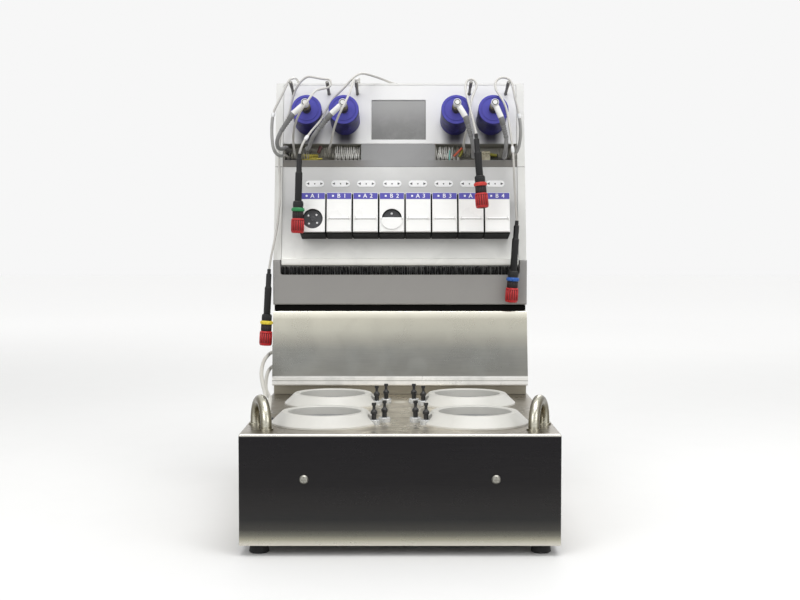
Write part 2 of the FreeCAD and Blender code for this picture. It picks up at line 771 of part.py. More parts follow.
def pump_cover(x):
    """The lower tube cover of one pump, with the two eyes that hold the lid's pin."""
    top = AXLE_HEIGHT - LID_PIN_RADIUS - COVER_DROP
    foot = PUMP_BOTTOM + PUMP_FACE_LIFT + COVER_DROP
    plate = slab((x - LID_RADIUS, x + LID_RADIUS), (foot, top),
                 (PUMP_PROUD, PUMP_PROUD + COVER_THICK))
    pieces = [plate]
    reach = LID_PIN_RADIUS + FIT + EYE_WALL
    for side in (-1, 1):
        left = x + side * (LID_RADIUS - LID_EYE_WIDTH / 2 - LID_GAP) - LID_EYE_WIDTH / 2
        eye = rod((left, -LID_AXIS, AXLE_HEIGHT), (1, 0, 0), reach, LID_EYE_WIDTH)
        web = slab((left, left + LID_EYE_WIDTH), (top - 2, AXLE_HEIGHT),
                   (PUMP_PROUD, LID_AXIS))
        pieces.append(eye)
        pieces.append(web)
    cover = joined(pieces)
    bore = rod((x - LID_RADIUS - 2, -LID_AXIS, AXLE_HEIGHT), (1, 0, 0),
               LID_PIN_RADIUS + FIT, 2 * LID_RADIUS + 4)
    cover = cover.cut(bore)
    front_of_panel = slab((x - 20, x + 20), (0, 99), (PUMP_PROUD, 99))
    return leaned(cover.common(front_of_panel))


def pump_lid(x, is_open):
    """The half-round lid over the upper half of one rotor, hinged across its flat edge."""
    inner_half = LID_RADIUS - LID_EYE_WIDTH - LID_GAP - FIT
    front = LID_AXIS - LID_GAP
    disc = post(x, AXLE_HEIGHT, front - LID_THICK, front, LID_RADIUS)
    above_eyes = AXLE_HEIGHT + LID_PIN_RADIUS + FIT + EYE_WALL + FIT
    upper = slab((x - 20, x + 20), (above_eyes, 99), (0, 99))
    middle = slab((x - inner_half, x + inner_half), (AXLE_HEIGHT, 99), (0, 99))
    plate = disc.common(joined([upper, middle]))
    pin = rod((x - LID_RADIUS + LID_GAP, -LID_AXIS, AXLE_HEIGHT), (1, 0, 0), LID_PIN_RADIUS,
              2 * (LID_RADIUS - LID_GAP))
    lid = joined([plate, pin])
    if is_open:
        lid.rotate(vec(x, -LID_AXIS, AXLE_HEIGHT), vec(1, 0, 0), 180)
    return leaned(lid)


def pump_rotor(x, start_angle):
    """Two discs on a hub with four rollers between them, on a shaft into the motor."""
    parts = [
        post(x, AXLE_HEIGHT, ROTOR_BACK, ROTOR_BACK + ROTOR_DISC, ROTOR_RADIUS),
        post(x, AXLE_HEIGHT, ROTOR_FRONT - ROTOR_DISC, ROTOR_FRONT, ROTOR_RADIUS),
        post(x, AXLE_HEIGHT, ROTOR_BACK, ROTOR_FRONT + 0.6, ROTOR_HUB),
        post(x, AXLE_HEIGHT, SHAFT_TAIL, ROTOR_BACK + 1, SHAFT_RADIUS),
    ]
    for i in range(4):
        angle = math.radians(start_angle + 90 * i)
        rx = x + ROLLER_CIRCLE * math.cos(angle)
        rv = AXLE_HEIGHT + ROLLER_CIRCLE * math.sin(angle)
        parts.append(post(rx, rv, ROTOR_BACK + 1, ROTOR_FRONT - 1, ROLLER_RADIUS))
    return leaned(joined(parts))


def pump_motor(x):
    """A gear motor behind the panel. Its nose passes through the panel and takes the shaft."""
    body = post(x, AXLE_HEIGHT, -PANEL_THICK - MOTOR_LENGTH, -PANEL_THICK, MOTOR_RADIUS)
    nose = post(x, AXLE_HEIGHT, -PANEL_THICK - 1, 1.7, MOTOR_NOSE)
    bore = post(x, AXLE_HEIGHT, SHAFT_TAIL - 1, 9, SHAFT_RADIUS + FIT)
    return leaned(joined([body, nose]).cut(bore))


# ---- cable shelf contents ----------------------------------------------------------------
# Each socket stands on the back wall of its tray: across, up the slope, radius of its cable.
SOCKET_FRONT = -8.1
CABLE_SOCKETS = {
    "lead_left": (-125.5, 116.5, SENSOR_CABLE),
    "drive_1": (-125.2, 125.0, DRIVE_CABLE),
    "yellow": (-117.0, 116.5, SENSOR_CABLE),
    "drive_2": (-104.0, 125.5, DRIVE_CABLE),
    "lead_middle": (-79.5, 123.0, SENSOR_CABLE),
    "red": (72.0, 123.0, SENSOR_CABLE),
    "drive_3": (83.5, 122.5, DRIVE_CABLE),
    "drive_4": (118.5, 122.5, DRIVE_CABLE),
    "blue": (126.0, 115.5, SENSOR_CABLE),
}


# Three more stand on the tower's top plate and point forwards.
TOP_INLETS = (-117.0, -47.5, -4.0)
INLET_FRONT = 392.1
INLET_LENGTH = 16.0
INLET_HEIGHT = 4.0
INLET_RADIUS = 3.2
INLET_FOOT = 5.0
SOCKET_BASE_LENGTH = 4.0
SOCKET_BASE_WALL = 1.6
SOCKET_SLEEVE_WALL = 0.9


def top_inlet(x):
    """A short cable inlet on a foot, screwed to the top plate."""
    z = TOWER_TOP + INLET_HEIGHT
    barrel = rod((x, INLET_FRONT, z), (0, 1, 0), INLET_RADIUS, INLET_LENGTH)
    foot = block((x - INLET_FOOT, x + INLET_FOOT),
                 (INLET_FRONT + INLET_HEIGHT, INLET_FRONT + INLET_LENGTH - INLET_HEIGHT / 2),
                 (TOWER_TOP, z - 1))
    return joined([barrel, foot])


def cable_sockets():
    """The inlets on top of the tower and the stepped sockets on the back of the trays."""
    sockets = [top_inlet(x) for x in TOP_INLETS]
    back = TRAY_BACK + TRAY_WALL
    for x, v, cable in CABLE_SOCKETS.values():
        base = post(x, v, back, back + SOCKET_BASE_LENGTH, cable + SOCKET_BASE_WALL)
        sleeve = post(x, v, back, SOCKET_FRONT, cable + SOCKET_SLEEVE_WALL)
        sockets.append(leaned(joined([base, sleeve])))
    return sockets


BARB_RADIUS = 1.5
BARB_PITCH = 4.4
BARB_HEIGHT = 14.5
BARB_PLANE = -12.5
BARB_ROWS = ((-72.4, 7), (43.5, 6))


def tube_barbs():
    """Hose barbs that stand in a row on a bar along the floor of each tray."""
    rows = []
    for first, count in BARB_ROWS:
        last = first + (count - 1) * BARB_PITCH
        bar = slab((first - 2, last + 2), (TRAY_FLOOR, TRAY_FLOOR + 3),
                   (BARB_PLANE - 3, BARB_PLANE + 3))
        pieces = [bar]
        for i in range(count):
            barb = turned([
                (0, 0),
                (BARB_RADIUS, 0),
                (BARB_RADIUS, BARB_HEIGHT * 0.45),
                (BARB_RADIUS + 0.4, BARB_HEIGHT * 0.5),
                (BARB_RADIUS - 0.2, BARB_HEIGHT * 0.75),
                (BARB_RADIUS + 0.4, BARB_HEIGHT * 0.78),
                (BARB_RADIUS - 0.4, BARB_HEIGHT),
                (0, BARB_HEIGHT),
            ])
            barb.translate(vec(first + i * BARB_PITCH, -BARB_PLANE, TRAY_FLOOR + 2))
            pieces.append(barb)
        rows.append(leaned(joined(pieces)))
    return rows


TERMINAL_BLOCKS = (
    ((-110.3, -92.3), 10.5),
    ((92.5, 101.5), 14.0),
    ((102.0, 110.5), 11.0),
)


def terminal_blocks():
    """Small push-in blocks on the floor of the trays, each with a row of wire holes."""
    blocks = []
    for span, height in TERMINAL_BLOCKS:
        body = slab(span, (TRAY_FLOOR, TRAY_FLOOR + height), (TRAY_BACK + TRAY_WALL, -9))
        hole_count = int((span[1] - span[0]) // 2.7)
        pitch = (span[1] - span[0]) / hole_count
        holes = []
        for i in range(hole_count):
            x = span[0] + (i + 0.5) * pitch
            holes.append(slab((x - 0.8, x + 0.8),
                              (TRAY_FLOOR + height - 4, TRAY_FLOOR + height - 2), (-12, 0)))
        blocks.append(leaned(cut_all(body, holes)))
    return blocks


# ---- overhead drives ---------------------------------------------------------------------
# Across-and-up directions of the angled plug's arm and of its boot, seen from the front.
DRIVE_ARMS = ((-47.0, -38.0), (-46.0, -43.0), (30.0, 17.0), (22.0, 16.0))


def in_panel(angle, length):
    """A step in the panel's plane: the angle is turned from straight down towards +X."""
    turn = math.radians(angle)
    return length * math.sin(turn), -length * math.cos(turn)


def drive_motor(x):
    """A round motor that stands out from the upper panel, with a spigot through it."""
    body = post(x, DRIVE_HEIGHT, 0, DRIVE_LENGTH, DRIVE_RADIUS)
    body = softened(body, 0.8, lambda c, e: c.y < -DRIVE_LENGTH + 0.1)
    ring = post(x, DRIVE_HEIGHT, DRIVE_LENGTH - 0.6, DRIVE_LENGTH + 9, DRIVE_RADIUS - 3)
    core = post(x, DRIVE_HEIGHT, DRIVE_LENGTH - 2, DRIVE_LENGTH + 10, DRIVE_RADIUS - 3.8)
    spigot = post(x, DRIVE_HEIGHT, -PANEL_THICK - 4, 1, DRIVE_SPIGOT)
    nut = post(x, DRIVE_HEIGHT, -PANEL_THICK - 4, -PANEL_THICK, DRIVE_SPIGOT + 3)
    return leaned(joined([body.cut(ring.cut(core)), spigot, nut]))


def drive_plug(x, arm_angle, boot_angle):
    """A screwed nut with an angled head, its arm and the tapered boot of the cable."""
    nut = post(x, DRIVE_HEIGHT, DRIVE_LENGTH, NUT_END, NUT_RADIUS)
    neck = post(x, DRIVE_HEIGHT, NUT_END - 1, ARM_PLANE - ARM_RADIUS, NUT_RADIUS - 1.6)
    head = post(x, DRIVE_HEIGHT, ARM_PLANE - ARM_RADIUS - 1, HEAD_END, HEAD_RADIUS)
    du, dv = in_panel(arm_angle, ARM_LENGTH)
    arm = rod((x, -ARM_PLANE, DRIVE_HEIGHT), (du, 0, dv), ARM_RADIUS, ARM_LENGTH)
    elbow = Part.makeSphere(ARM_RADIUS, vec(x + du, -ARM_PLANE, DRIVE_HEIGHT + dv))
    droop = math.radians(BOOT_DROOP)
    bu, bv = in_panel(boot_angle, math.cos(droop))
    boot = Part.makeCone(ARM_RADIUS, DRIVE_CABLE + 0.4, BOOT_LENGTH,
                         vec(x + du, -ARM_PLANE, DRIVE_HEIGHT + dv), vec(bu, math.sin(droop), bv))
    return leaned(joined([nut, neck, head, arm, elbow, boot]))


# ---- cords -------------------------------------------------------------------------------
SIDE_CABLE_Z = (146.0, 129.0)
GLAND_X = -104.0
GLAND_END = 447.9
GLAND_RADIUS = 5.0
CLIP_X = -146.0
CLIP_Y = (379.0, 391.0)
CLIP_Z = (145.15, 129.0)
CLIP_WALL = 2.0
CLIP_END = 7.0
CLIP_ROUND = 1.5
CONNECTOR_GAP = 0.1

# The top and the bottom of each hanging sensor connector.
CONNECTORS = {
    "green": ((-108.0, 262.0, 367.0), (-110.5, 262.0, 281.5)),
    "red": ((81.3, 257.0, 387.7), (88.0, 251.5, 308.3)),
    "blue": ((127.5, 280.0, 295.5), (122.0, 284.0, 206.0)),
    "yellow": ((-144.0, 290.0, 242.5), (-148.5, 290.0, 158.0)),
}

# The points that each cord follows, measured as everything else here is.
SENSOR_ROUTES = {
    "yellow": [
        (-117.0, 326.0, 366.3), (-117.0, 314.8, 368.7), (-117.5, 304.5, 375.5),
        (-117.5, 293.5, 385.5), (-115.0, 277.0, 395.5), (-110.5, 264.0, 405.5),
        (-104.0, 252.5, 414.5), (-97.0, 257.5, 425.0), (-92.5, 276.0, 435.5),
        (-87.5, 294.5, 439.5), (-76.0, 297.0, 442.0), (-76.0, 300.0, 451.0),
        (-84.5, 302.5, 451.5), (-94.5, 308.0, 454.0), (-102.5, 312.5, 456.0),
        (-110.0, 313.5, 451.0), (-116.5, 315.0, 441.0), (-120.5, 316.0, 429.0),
        (-123.0, 316.5, 416.5), (-128.5, 315.5, 404.0), (-133.5, 314.5, 391.0),
        (-135.0, 313.5, 373.5), (-134.0, 309.5, 351.5), (-132.5, 304.0, 329.0),
        (-133.5, 298.0, 307.0),
        (-135.5, 293.0, 287.0), (-138.5, 288.5, 270.5),
        (-142.0, 289.0, 255.0), (-144.0, 290.0, 242.5),
    ],
    "green": [
        (-4.0, 392.0, 455.0), (-5.0, 372.0, 455.0), (-9.5, 350.0, 453.0),
        (-21.5, 337.0, 456.5), (-34.5, 323.0, 459.0), (-43.0, 312.5, 459.5),
        (-51.0, 301.0, 454.0), (-61.5, 299.5, 441.5), (-73.0, 302.5, 431.5),
        (-81.5, 301.0, 417.5), (-86.5, 287.0, 404.5), (-95.0, 272.5, 393.0),
        (-101.0, 261.0, 383.0), (-105.5, 258.5, 375.0), (-108.0, 262.0, 367.0),
    ],
    "red": [
        (72.0, 327.4, 372.6), (72.0, 313.7, 375.5), (70.0, 300.0, 378.0),
        (70.5, 287.5, 386.0), (73.0, 277.0, 395.0), (75.5, 273.5, 407.5),
        (76.5, 281.0, 423.0), (81.0, 292.0, 435.5), (85.0, 298.0, 443.5),
        (82.0, 301.0, 451.0), (74.5, 301.0, 451.0), (71.5, 297.0, 443.5),
        (72.5, 285.0, 431.5), (75.5, 270.5, 417.0), (78.5, 261.5, 402.0),
        (81.3, 257.0, 387.7),
    ],
    "blue": [
        (126.0, 325.8, 365.3), (126.0, 315.4, 367.5), (129.0, 305.0, 370.5),
        (132.0, 300.5, 380.0), (133.0, 296.5, 391.5), (132.0, 295.0, 404.0),
        (129.5, 295.0, 417.0), (126.0, 295.5, 430.0), (124.0, 296.5, 442.5),
        (121.0, 298.5, 451.0), (112.5, 299.0, 453.5), (105.0, 297.0, 449.5),
        (104.0, 291.5, 439.5), (109.5, 284.5, 430.5), (114.5, 278.5, 420.5),
        (117.0, 274.5, 407.5), (118.5, 266.5, 392.0), (121.0, 263.5, 374.5),
        (122.5, 264.0, 357.5), (123.5, 268.5, 336.0), (125.5, 274.5, 316.0),
        (126.5, 278.5, 305.0), (127.5, 280.0, 295.5),
    ],
}
LEAD_ROUTES = {
    "left": [
        (-125.5, 326.0, 366.3), (-125.5, 311.3, 369.4), (-132.5, 297.0, 366.0),
        (-138.5, 291.0, 371.5), (-140.5, 290.5, 386.0), (-140.5, 292.0, 403.0),
        (-138.5, 293.5, 416.0), (-132.5, 293.5, 427.0), (-126.5, 294.0, 438.5),
        (-122.5, 298.0, 450.0), (-119.5, 310.0, 453.0), (-118.0, 329.0, 456.0),
        (-117.5, 345.0, 457.0), (-117.0, 369.0, 456.0), (-117.0, 392.0, 455.0),
    ],
    "middle": [
        (-79.5, 327.4, 372.6), (-79.5, 313.7, 375.5), (-77.0, 295.5, 377.0),
        (-74.0, 281.0, 384.5), (-71.0, 266.5, 395.0), (-66.0, 254.0, 405.5),
        (-61.0, 251.0, 415.0), (-56.5, 259.0, 425.5), (-53.0, 274.5, 437.0),
        (-51.0, 292.5, 450.3), (-48.5, 308.0, 450.6), (-46.5, 329.0, 455.5),
        (-46.5, 346.0, 457.5), (-47.0, 369.0, 456.0), (-47.5, 392.0, 455.0),
    ],
}
DRIVE_ROUTES = [
    [
        (-127.9, 266.5, 391.5), (-132.4, 268.2, 384.2), (-133.5, 275.2, 375.3),
        (-131.0, 287.5, 373.2), (-127.5, 301.5, 376.0), (-125.0, 315.3, 377.7),
        (-125.2, 327.8, 374.6),
    ],
    [
        (-88.6, 266.7, 392.4), (-94.2, 268.5, 386.0), (-97.5, 275.0, 378.0),
        (-100.0, 287.0, 373.5), (-103.0, 301.5, 374.5), (-104.0, 315.4, 377.7),
        (-104.0, 327.9, 375.1),
    ],
    [
        (76.5, 265.0, 384.8), (78.7, 266.6, 376.6), (79.5, 273.0, 369.0),
        (80.0, 286.0, 364.5), (81.5, 300.0, 366.5), (83.5, 313.6, 374.0),
        (83.5, 327.3, 372.2),
    ],
    [
        (114.4, 264.8, 383.6), (114.4, 266.3, 375.4), (113.5, 272.5, 367.5),
        (113.5, 285.5, 363.5), (116.0, 300.0, 366.0), (118.0, 313.6, 373.5),
        (118.5, 327.3, 372.2),
    ],
]
SIDE_ROUTES = {
    "upper": [
        (-104.0, 448.0, 146.0), (-104.0, 458.0, 146.0), (-108.0, 470.0, 146.0),
        (-118.0, 479.5, 146.5), (-131.0, 480.0, 146.0), (-141.5, 471.5, 145.5),
        (-145.5, 458.0, 145.5), (-146.5, 435.0, 145.0), (-146.0, 395.0, 145.0),
        (-146.0, 355.0, 145.5), (-146.0, 310.0, 147.5), (-147.5, 268.0, 144.5),
        (-146.0, 232.0, 140.5), (-143.5, 200.0, 135.5), (-138.5, 168.0, 128.5),
        (-133.5, 141.0, 124.5), (-131.0, 122.0, 124.5), (-130.5, 110.5, 121.5),
        (-130.0, 103.0, 114.5), (-130.0, 100.5, 105.5), (-130.0, 100.0, 97.0),
    ],
    "lower": [
        (-104.0, 448.0, 129.0), (-104.0, 458.0, 129.0), (-108.0, 470.0, 129.0),
        (-118.0, 479.5, 128.5), (-131.0, 480.0, 128.5), (-141.5, 471.5, 128.5),
        (-145.5, 458.0, 128.5), (-146.5, 435.0, 129.0), (-146.0, 395.0, 129.0),
        (-146.0, 355.0, 129.0), (-145.5, 310.0, 131.0), (-144.5, 270.0, 129.5),
        (-142.0, 230.0, 125.0), (-138.0, 190.0, 121.5), (-132.0, 155.0, 120.0),
        (-128.0, 131.0, 120.5), (-125.5, 115.0, 121.5), (-124.5, 103.0, 120.5),
        (-124.3, 94.0, 115.5), (-124.3, 89.3, 108.0), (-124.3, 88.2, 100.5),
        (-124.3, 88.4, 94.5),
    ],
}
ARC_SHARE = 0.45


def cord_tube(name, points, radius):
    """A round tube along straight runs that are joined by tangent arcs."""
    points = [vec(*point) for point in points]
    edges = []
    radii = []
    start = points[0]
    for before, corner, after in zip(points, points[1:], points[2:]):
        back = before - corner
        ahead = after - corner
        reach = ARC_SHARE * min(back.Length, ahead.Length)
        half_turn = (math.pi - back.getAngle(ahead)) / 2
        bend = reach / math.tan(half_turn)
        back.normalize()
        ahead.normalize()
        inwards = back + ahead
        inwards.normalize()
        entry = corner + back * reach
        leaving = corner + ahead * reach
        middle = corner + inwards * (bend / math.cos(half_turn) - bend)
        edges.append(Part.LineSegment(start, entry).toShape())
        edges.append(Part.Arc(entry, middle, leaving).toShape())
        radii.append(bend)
        start = leaving
    edges.append(Part.LineSegment(start, points[-1]).toShape())
    path = Part.Wire(edges)
    circle = Part.makeCircle(radius, points[0], points[1] - points[0])
    tube = path.makePipeShell([Part.Wire(circle)], True, False)
    share = tube.Volume / (math.pi * radius ** 2 * path.Length)
    print(name, "length", round(path.Length), "volume share", round(share, 4))
    print("    arc radii", [round(bend) for bend in radii])
    return tube


def cable_glands():
    """Round glands on the back panel, where the two side cables leave."""
    face = DEPTH - SHELL_SHEET
    return [rod((GLAND_X, face, z), (0, 1, 0), GLAND_RADIUS, GLAND_END - face) for z in SIDE_CABLE_Z]


def side_clip():
    """A moulded clip on the tower's left side that carries both side cables."""
    wall = -HALF + SHELL_INSET
    outside = CLIP_X - SIDE_CABLE - CLIP_WALL
    clip = block((outside, wall), CLIP_Y, (CLIP_Z[1] - CLIP_END, CLIP_Z[0] + CLIP_END))
    clip = softened(clip, CLIP_ROUND, lambda c, e: c.x < outside + 0.1)
    holes = [
        rod((CLIP_X, CLIP_Y[0] - 1, z), (0, 1, 0), SIDE_CABLE + FIT, CLIP_Y[1] - CLIP_Y[0] + 2)
        for z in CLIP_Z
    ]
    return cut_all(clip, holes)


# Radius and distance from the top for the upper part, and from the bottom for the rest. The
# grip between them takes up the length of each connector.
CONNECTOR_TOP = ((2.0, 0.0), (2.0, 5.0), (2.95, 5.5), (2.95, 19.5), (3.85, 20.5))
CONNECTOR_FOOT = (
    (3.85, 35.0), (5.5, 34.0), (5.5, 28.0), (7.0, 27.5), (7.0, 23.0), (6.15, 22.7),
    (6.15, 14.0), (7.2, 13.5), (7.2, 1.0), (6.4, 0.0),
)


def sensor_connector(top, bottom):
    """A turned plug in the line from its top, where the cable enters, to its bottom."""
    start = vec(*top)
    line = vec(*bottom) - start
    length = line.Length - CONNECTOR_GAP
    line.normalize()
    foot = [(radius, length - up) for radius, up in CONNECTOR_FOOT]
    plug = turned([(0, 0), *CONNECTOR_TOP, *foot, (0, length)])
    turn = FreeCAD.Rotation(vec(0, 0, 1), line)
    plug.Placement = FreeCAD.Placement(start + line * CONNECTOR_GAP, turn)
    return plug


def main():
    os.makedirs("parts", exist_ok=True)
    save("base_housing", base_housing())
    save("base_floor", base_floor())
    save("base_feet", base_feet())
    save("panel_screws", panel_screws())
    for number, (x, y) in enumerate(WELLS, 1):
        save("well_collar_" + str(number), well_collar(x, y))
    save("well_cups", [well_cup(x, y) for x, y in WELLS])
    save("heat_sinks", [heat_sink(x, y) for x, y in WELLS])
    save("handles", [handle(-1), handle(1)])
    save("sensor_sockets", [sensor_socket(x, y) for x, y in socket_places()])
    save("dust_plugs", [dust_plug(x, y) for x, y in socket_places()])
    save("cable_guides", cable_grommets() + cable_glands() + [side_clip()])
    save("tower_shell", tower_shell())
    save("tower_back", tower_back())
    save("splash_plate", splash_plate())
    save("lower_fascia", lower_fascia())
    save("slot_brush", slot_brush())
    save("pump_panel", pump_panel())
    save("shelf_cover", shelf_cover())
    save("port_trays", port_trays())
    save("upper_panel", upper_panel())
    save("display_glass", display_glass())
    save("cable_pegs", cable_pegs())
    save("pump_housings", [pump_housing(x) for x in PUMPS])
    save("pump_faces", [pump_face(x) for x in PUMPS] + [pump_cover(x) for x in PUMPS[1:]])
    save("pump_motors", [pump_motor(x) for x in PUMPS])
    for number, x in enumerate(PUMPS, 1):
        save("pump_rotor_" + str(number), pump_rotor(x, ROTOR_ANGLES[number - 1]))
        if number > 1:
            save("pump_lid_" + str(number), pump_lid(x, number == OPEN_LID))
    save("cable_sockets", cable_sockets())
    save("shelf_fittings", tube_barbs() + terminal_blocks())
    save("drive_motors", [drive_motor(x) for x in DRIVE_X])
    save("drive_plugs", [drive_plug(x, *angles) for x, angles in zip(DRIVE_X, DRIVE_ARMS)])
    save("sensor_connectors", [sensor_connector(*ends) for ends in CONNECTORS.values()])
    for name, points in SENSOR_ROUTES.items():
        save("cord_" + name, cord_tube(name, points, SENSOR_CABLE))
    for name, points in LEAD_ROUTES.items():
        save("cord_lead_" + name, cord_tube(name, points, SENSOR_CABLE))
    for number, points in enumerate(DRIVE_ROUTES, 1):
        save("cord_drive_" + str(number), cord_tube("drive " + str(number), points, DRIVE_CABLE))
    for name, points in SIDE_ROUTES.items():
        save("cord_side_" + name, cord_tube("side " + name, points, SIDE_CABLE))


main()
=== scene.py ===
# %% [markdown]
# # Finishing a bench bioreactor in Blender
#
# The machine grows small cultures in four heated wells. A steel base holds the wells, and a tower
# behind it carries eight tube pumps, four stirrer drives and the sensor cables. The CAD model
# gives each part its true shape and place. This lesson adds what CAD leaves out: finishes,
# labels, bristles, ribs, and cables that hang like cables.

# %% Load the CAD model
import math

import bmesh
import bpy
from mathutils import Matrix, Vector


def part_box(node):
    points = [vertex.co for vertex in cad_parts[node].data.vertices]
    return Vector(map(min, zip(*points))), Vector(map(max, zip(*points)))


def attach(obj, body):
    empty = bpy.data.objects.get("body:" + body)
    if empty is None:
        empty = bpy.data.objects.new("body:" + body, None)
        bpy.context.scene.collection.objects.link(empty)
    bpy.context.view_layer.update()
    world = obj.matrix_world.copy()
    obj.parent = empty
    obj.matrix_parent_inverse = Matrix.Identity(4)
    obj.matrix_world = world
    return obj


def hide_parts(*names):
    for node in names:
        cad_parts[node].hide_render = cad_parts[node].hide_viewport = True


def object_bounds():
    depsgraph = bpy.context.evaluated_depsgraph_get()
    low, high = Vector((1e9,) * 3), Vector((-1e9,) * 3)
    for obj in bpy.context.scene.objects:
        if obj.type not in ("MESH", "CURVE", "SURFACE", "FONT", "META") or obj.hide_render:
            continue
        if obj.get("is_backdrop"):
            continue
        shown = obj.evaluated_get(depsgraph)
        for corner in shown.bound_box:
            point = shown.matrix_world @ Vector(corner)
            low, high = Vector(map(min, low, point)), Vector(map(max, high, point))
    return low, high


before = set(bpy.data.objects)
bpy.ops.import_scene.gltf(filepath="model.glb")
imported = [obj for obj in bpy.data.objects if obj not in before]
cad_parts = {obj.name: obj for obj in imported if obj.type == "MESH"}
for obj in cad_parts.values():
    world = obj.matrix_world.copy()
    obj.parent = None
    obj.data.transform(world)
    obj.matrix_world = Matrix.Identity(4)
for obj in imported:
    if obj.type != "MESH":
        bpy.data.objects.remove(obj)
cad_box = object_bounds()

scene = bpy.context.scene
scene.view_settings.view_transform = "Standard"
print("CAD box", [[round(value, 4) for value in corner] for corner in cad_box])

# %% [markdown]
# ## Two ways to say where something is
#
# The drawing measures in millimetres, with Y from the front face of the base and the bench a
# little below its zero. The row frame is in metres, with Y from the middle of the depth and Z
# from the bench. The front of the tower leans back by 12 degrees, so a matrix takes points from
# upright panel axes to the slope.

# %% Places in the drawing and on the slope
MM = 0.001
LEAN = math.radians(12)
QUARTER = math.radians(90)
HALF_DEPTH = 220
BENCH = -4.5


def height(z):
    """A height in the drawing as metres above the bench."""
    return (z - BENCH) * MM


def in_row(x, y, z):
    """A drawing point in the row frame, in metres."""
    return Vector((x * MM, (y - HALF_DEPTH) * MM, height(z)))


SLOPE = Matrix.Translation(in_row(0, 294, 254)) @ Matrix.Rotation(-LEAN, 4, "X")
SLOPE = SLOPE @ Matrix.Scale(MM, 4)


def on_slope(across, up, out):
    """A point on the leaning front, in metres, from millimetres across, up and out."""
    return SLOPE @ Vector((across, -out, up))


def out_of_slope(across, up, out=0):
    """A matrix whose +Z, in millimetres, points out of the leaning front at that place."""
    return SLOPE @ Matrix.Translation((across, -out, up)) @ Matrix.Rotation(QUARTER, 4, "X")


print("foot of the slope", [round(value, 4) for value in on_slope(0, 0, 0)])

# %% [markdown]
# ## The camera
#
# The machine is seen straight on from a little over a metre, by a lens slightly longer than a
# standard one, at about the height of the pumps. Real distances give the true amount of
# convergence, which a guess by eye does not.

# %% Camera
CAMERA_DISTANCE = 1104
CAMERA_HEIGHT = 273
CAMERA_DOWN = math.radians(2.66)


def add_object(name, data):
    """An object in the scene for a mesh, curve, lamp or camera."""
    made = bpy.data.objects.new(name, data)
    scene.collection.objects.link(made)
    return made


lens = bpy.data.cameras.new("camera")
lens.lens = 57
lens.sensor_width = 36
camera = add_object("camera", lens)
camera.location = in_row(0, -CAMERA_DISTANCE, CAMERA_HEIGHT)
camera.rotation_euler = (QUARTER - CAMERA_DOWN, 0, 0)
scene.camera = camera
print("camera at", [round(value, 3) for value in camera.location])

# %% [markdown]
# ## The cables
#
# Four thin cables end in sensor connectors that hang over the front, two thin ones go up over the
# pegs and into the top of the tower, four thicker ones join the drives to the cable shelf, and
# two run down the left side to the base. A tube swept along arcs would look like bent wire. A
# NURBS spline through a few chosen points bends evenly and softly, as a cable does. Its order and
# fixed ends are set after the points, or it stays straight. Each route is a list of drawing
# points and starts where the cable leaves the machine.

# %% Routes of the sensor cables
ROUTES = {
    "sensor_cable_yellow": (
        (-117, 326, 366.3), (-117, 314.8, 368.7), (-117.5, 304.5, 375.5), (-117.5, 293.5, 385.5),
        (-115, 277, 395.5), (-110.5, 264, 405.5), (-104, 252.5, 414.5), (-97, 257.5, 425),
        (-92.5, 276, 435.5), (-87.5, 294.5, 439.5), (-76, 297, 442), (-76, 300, 451),
        (-84.5, 302.5, 451.5), (-94.5, 308, 454), (-102.5, 312.5, 456), (-110, 313.5, 451),
        (-116.5, 315, 441), (-120.5, 316, 429), (-123, 316.5, 416.5), (-128.5, 315.5, 404),
        (-133.5, 314.5, 391), (-135, 313.5, 373.5), (-134, 309.5, 351.5), (-132.5, 304, 329),
        (-133.5, 298, 307), (-135.5, 293, 287), (-138.5, 288.5, 270.5), (-142, 289, 255),
        (-144, 290, 242.5),
    ),
    "sensor_cable_green": (
        (-4, 392, 455), (-5, 372, 455), (-9.5, 350, 453), (-21.5, 337, 456.5), (-34.5, 323, 459),
        (-43, 312.5, 459.5), (-51, 301, 454), (-61.5, 299.5, 441.5), (-73, 302.5, 431.5),
        (-81.5, 301, 417.5), (-86.5, 287, 404.5), (-95, 272.5, 393), (-101, 261, 383),
        (-105.5, 258.5, 375), (-108, 262, 367),
    ),
    "sensor_cable_red": (
        (72, 327.4, 372.6), (72, 313.7, 375.5), (70, 300, 378), (70.5, 287.5, 386),
        (73, 277, 395), (75.5, 273.5, 407.5), (76.5, 281, 423), (81, 292, 435.5),
        (85, 298, 443.5), (82, 301, 451), (74.5, 301, 451), (71.5, 297, 443.5),
        (72.5, 285, 431.5), (75.5, 270.5, 417), (78.5, 261.5, 402), (81.3, 257, 387.7),
    ),
    "sensor_cable_blue": (
        (126, 325.8, 365.3), (126, 315.4, 367.5), (129, 305, 370.5), (132, 300.5, 380),
        (133, 296.5, 391.5), (132, 295, 404), (129.5, 295, 417), (126, 295.5, 430),
        (124, 296.5, 442.5), (121, 298.5, 451), (112.5, 299, 453.5), (105, 297, 449.5),
        (104, 291.5, 439.5), (109.5, 284.5, 430.5), (114.5, 278.5, 420.5), (117, 274.5, 407.5),
        (118.5, 266.5, 392), (121, 263.5, 374.5), (122.5, 264, 357.5), (123.5, 268.5, 336),
        (125.5, 274.5, 316), (126.5, 278.5, 305), (127.5, 280, 295.5),
    ),
}

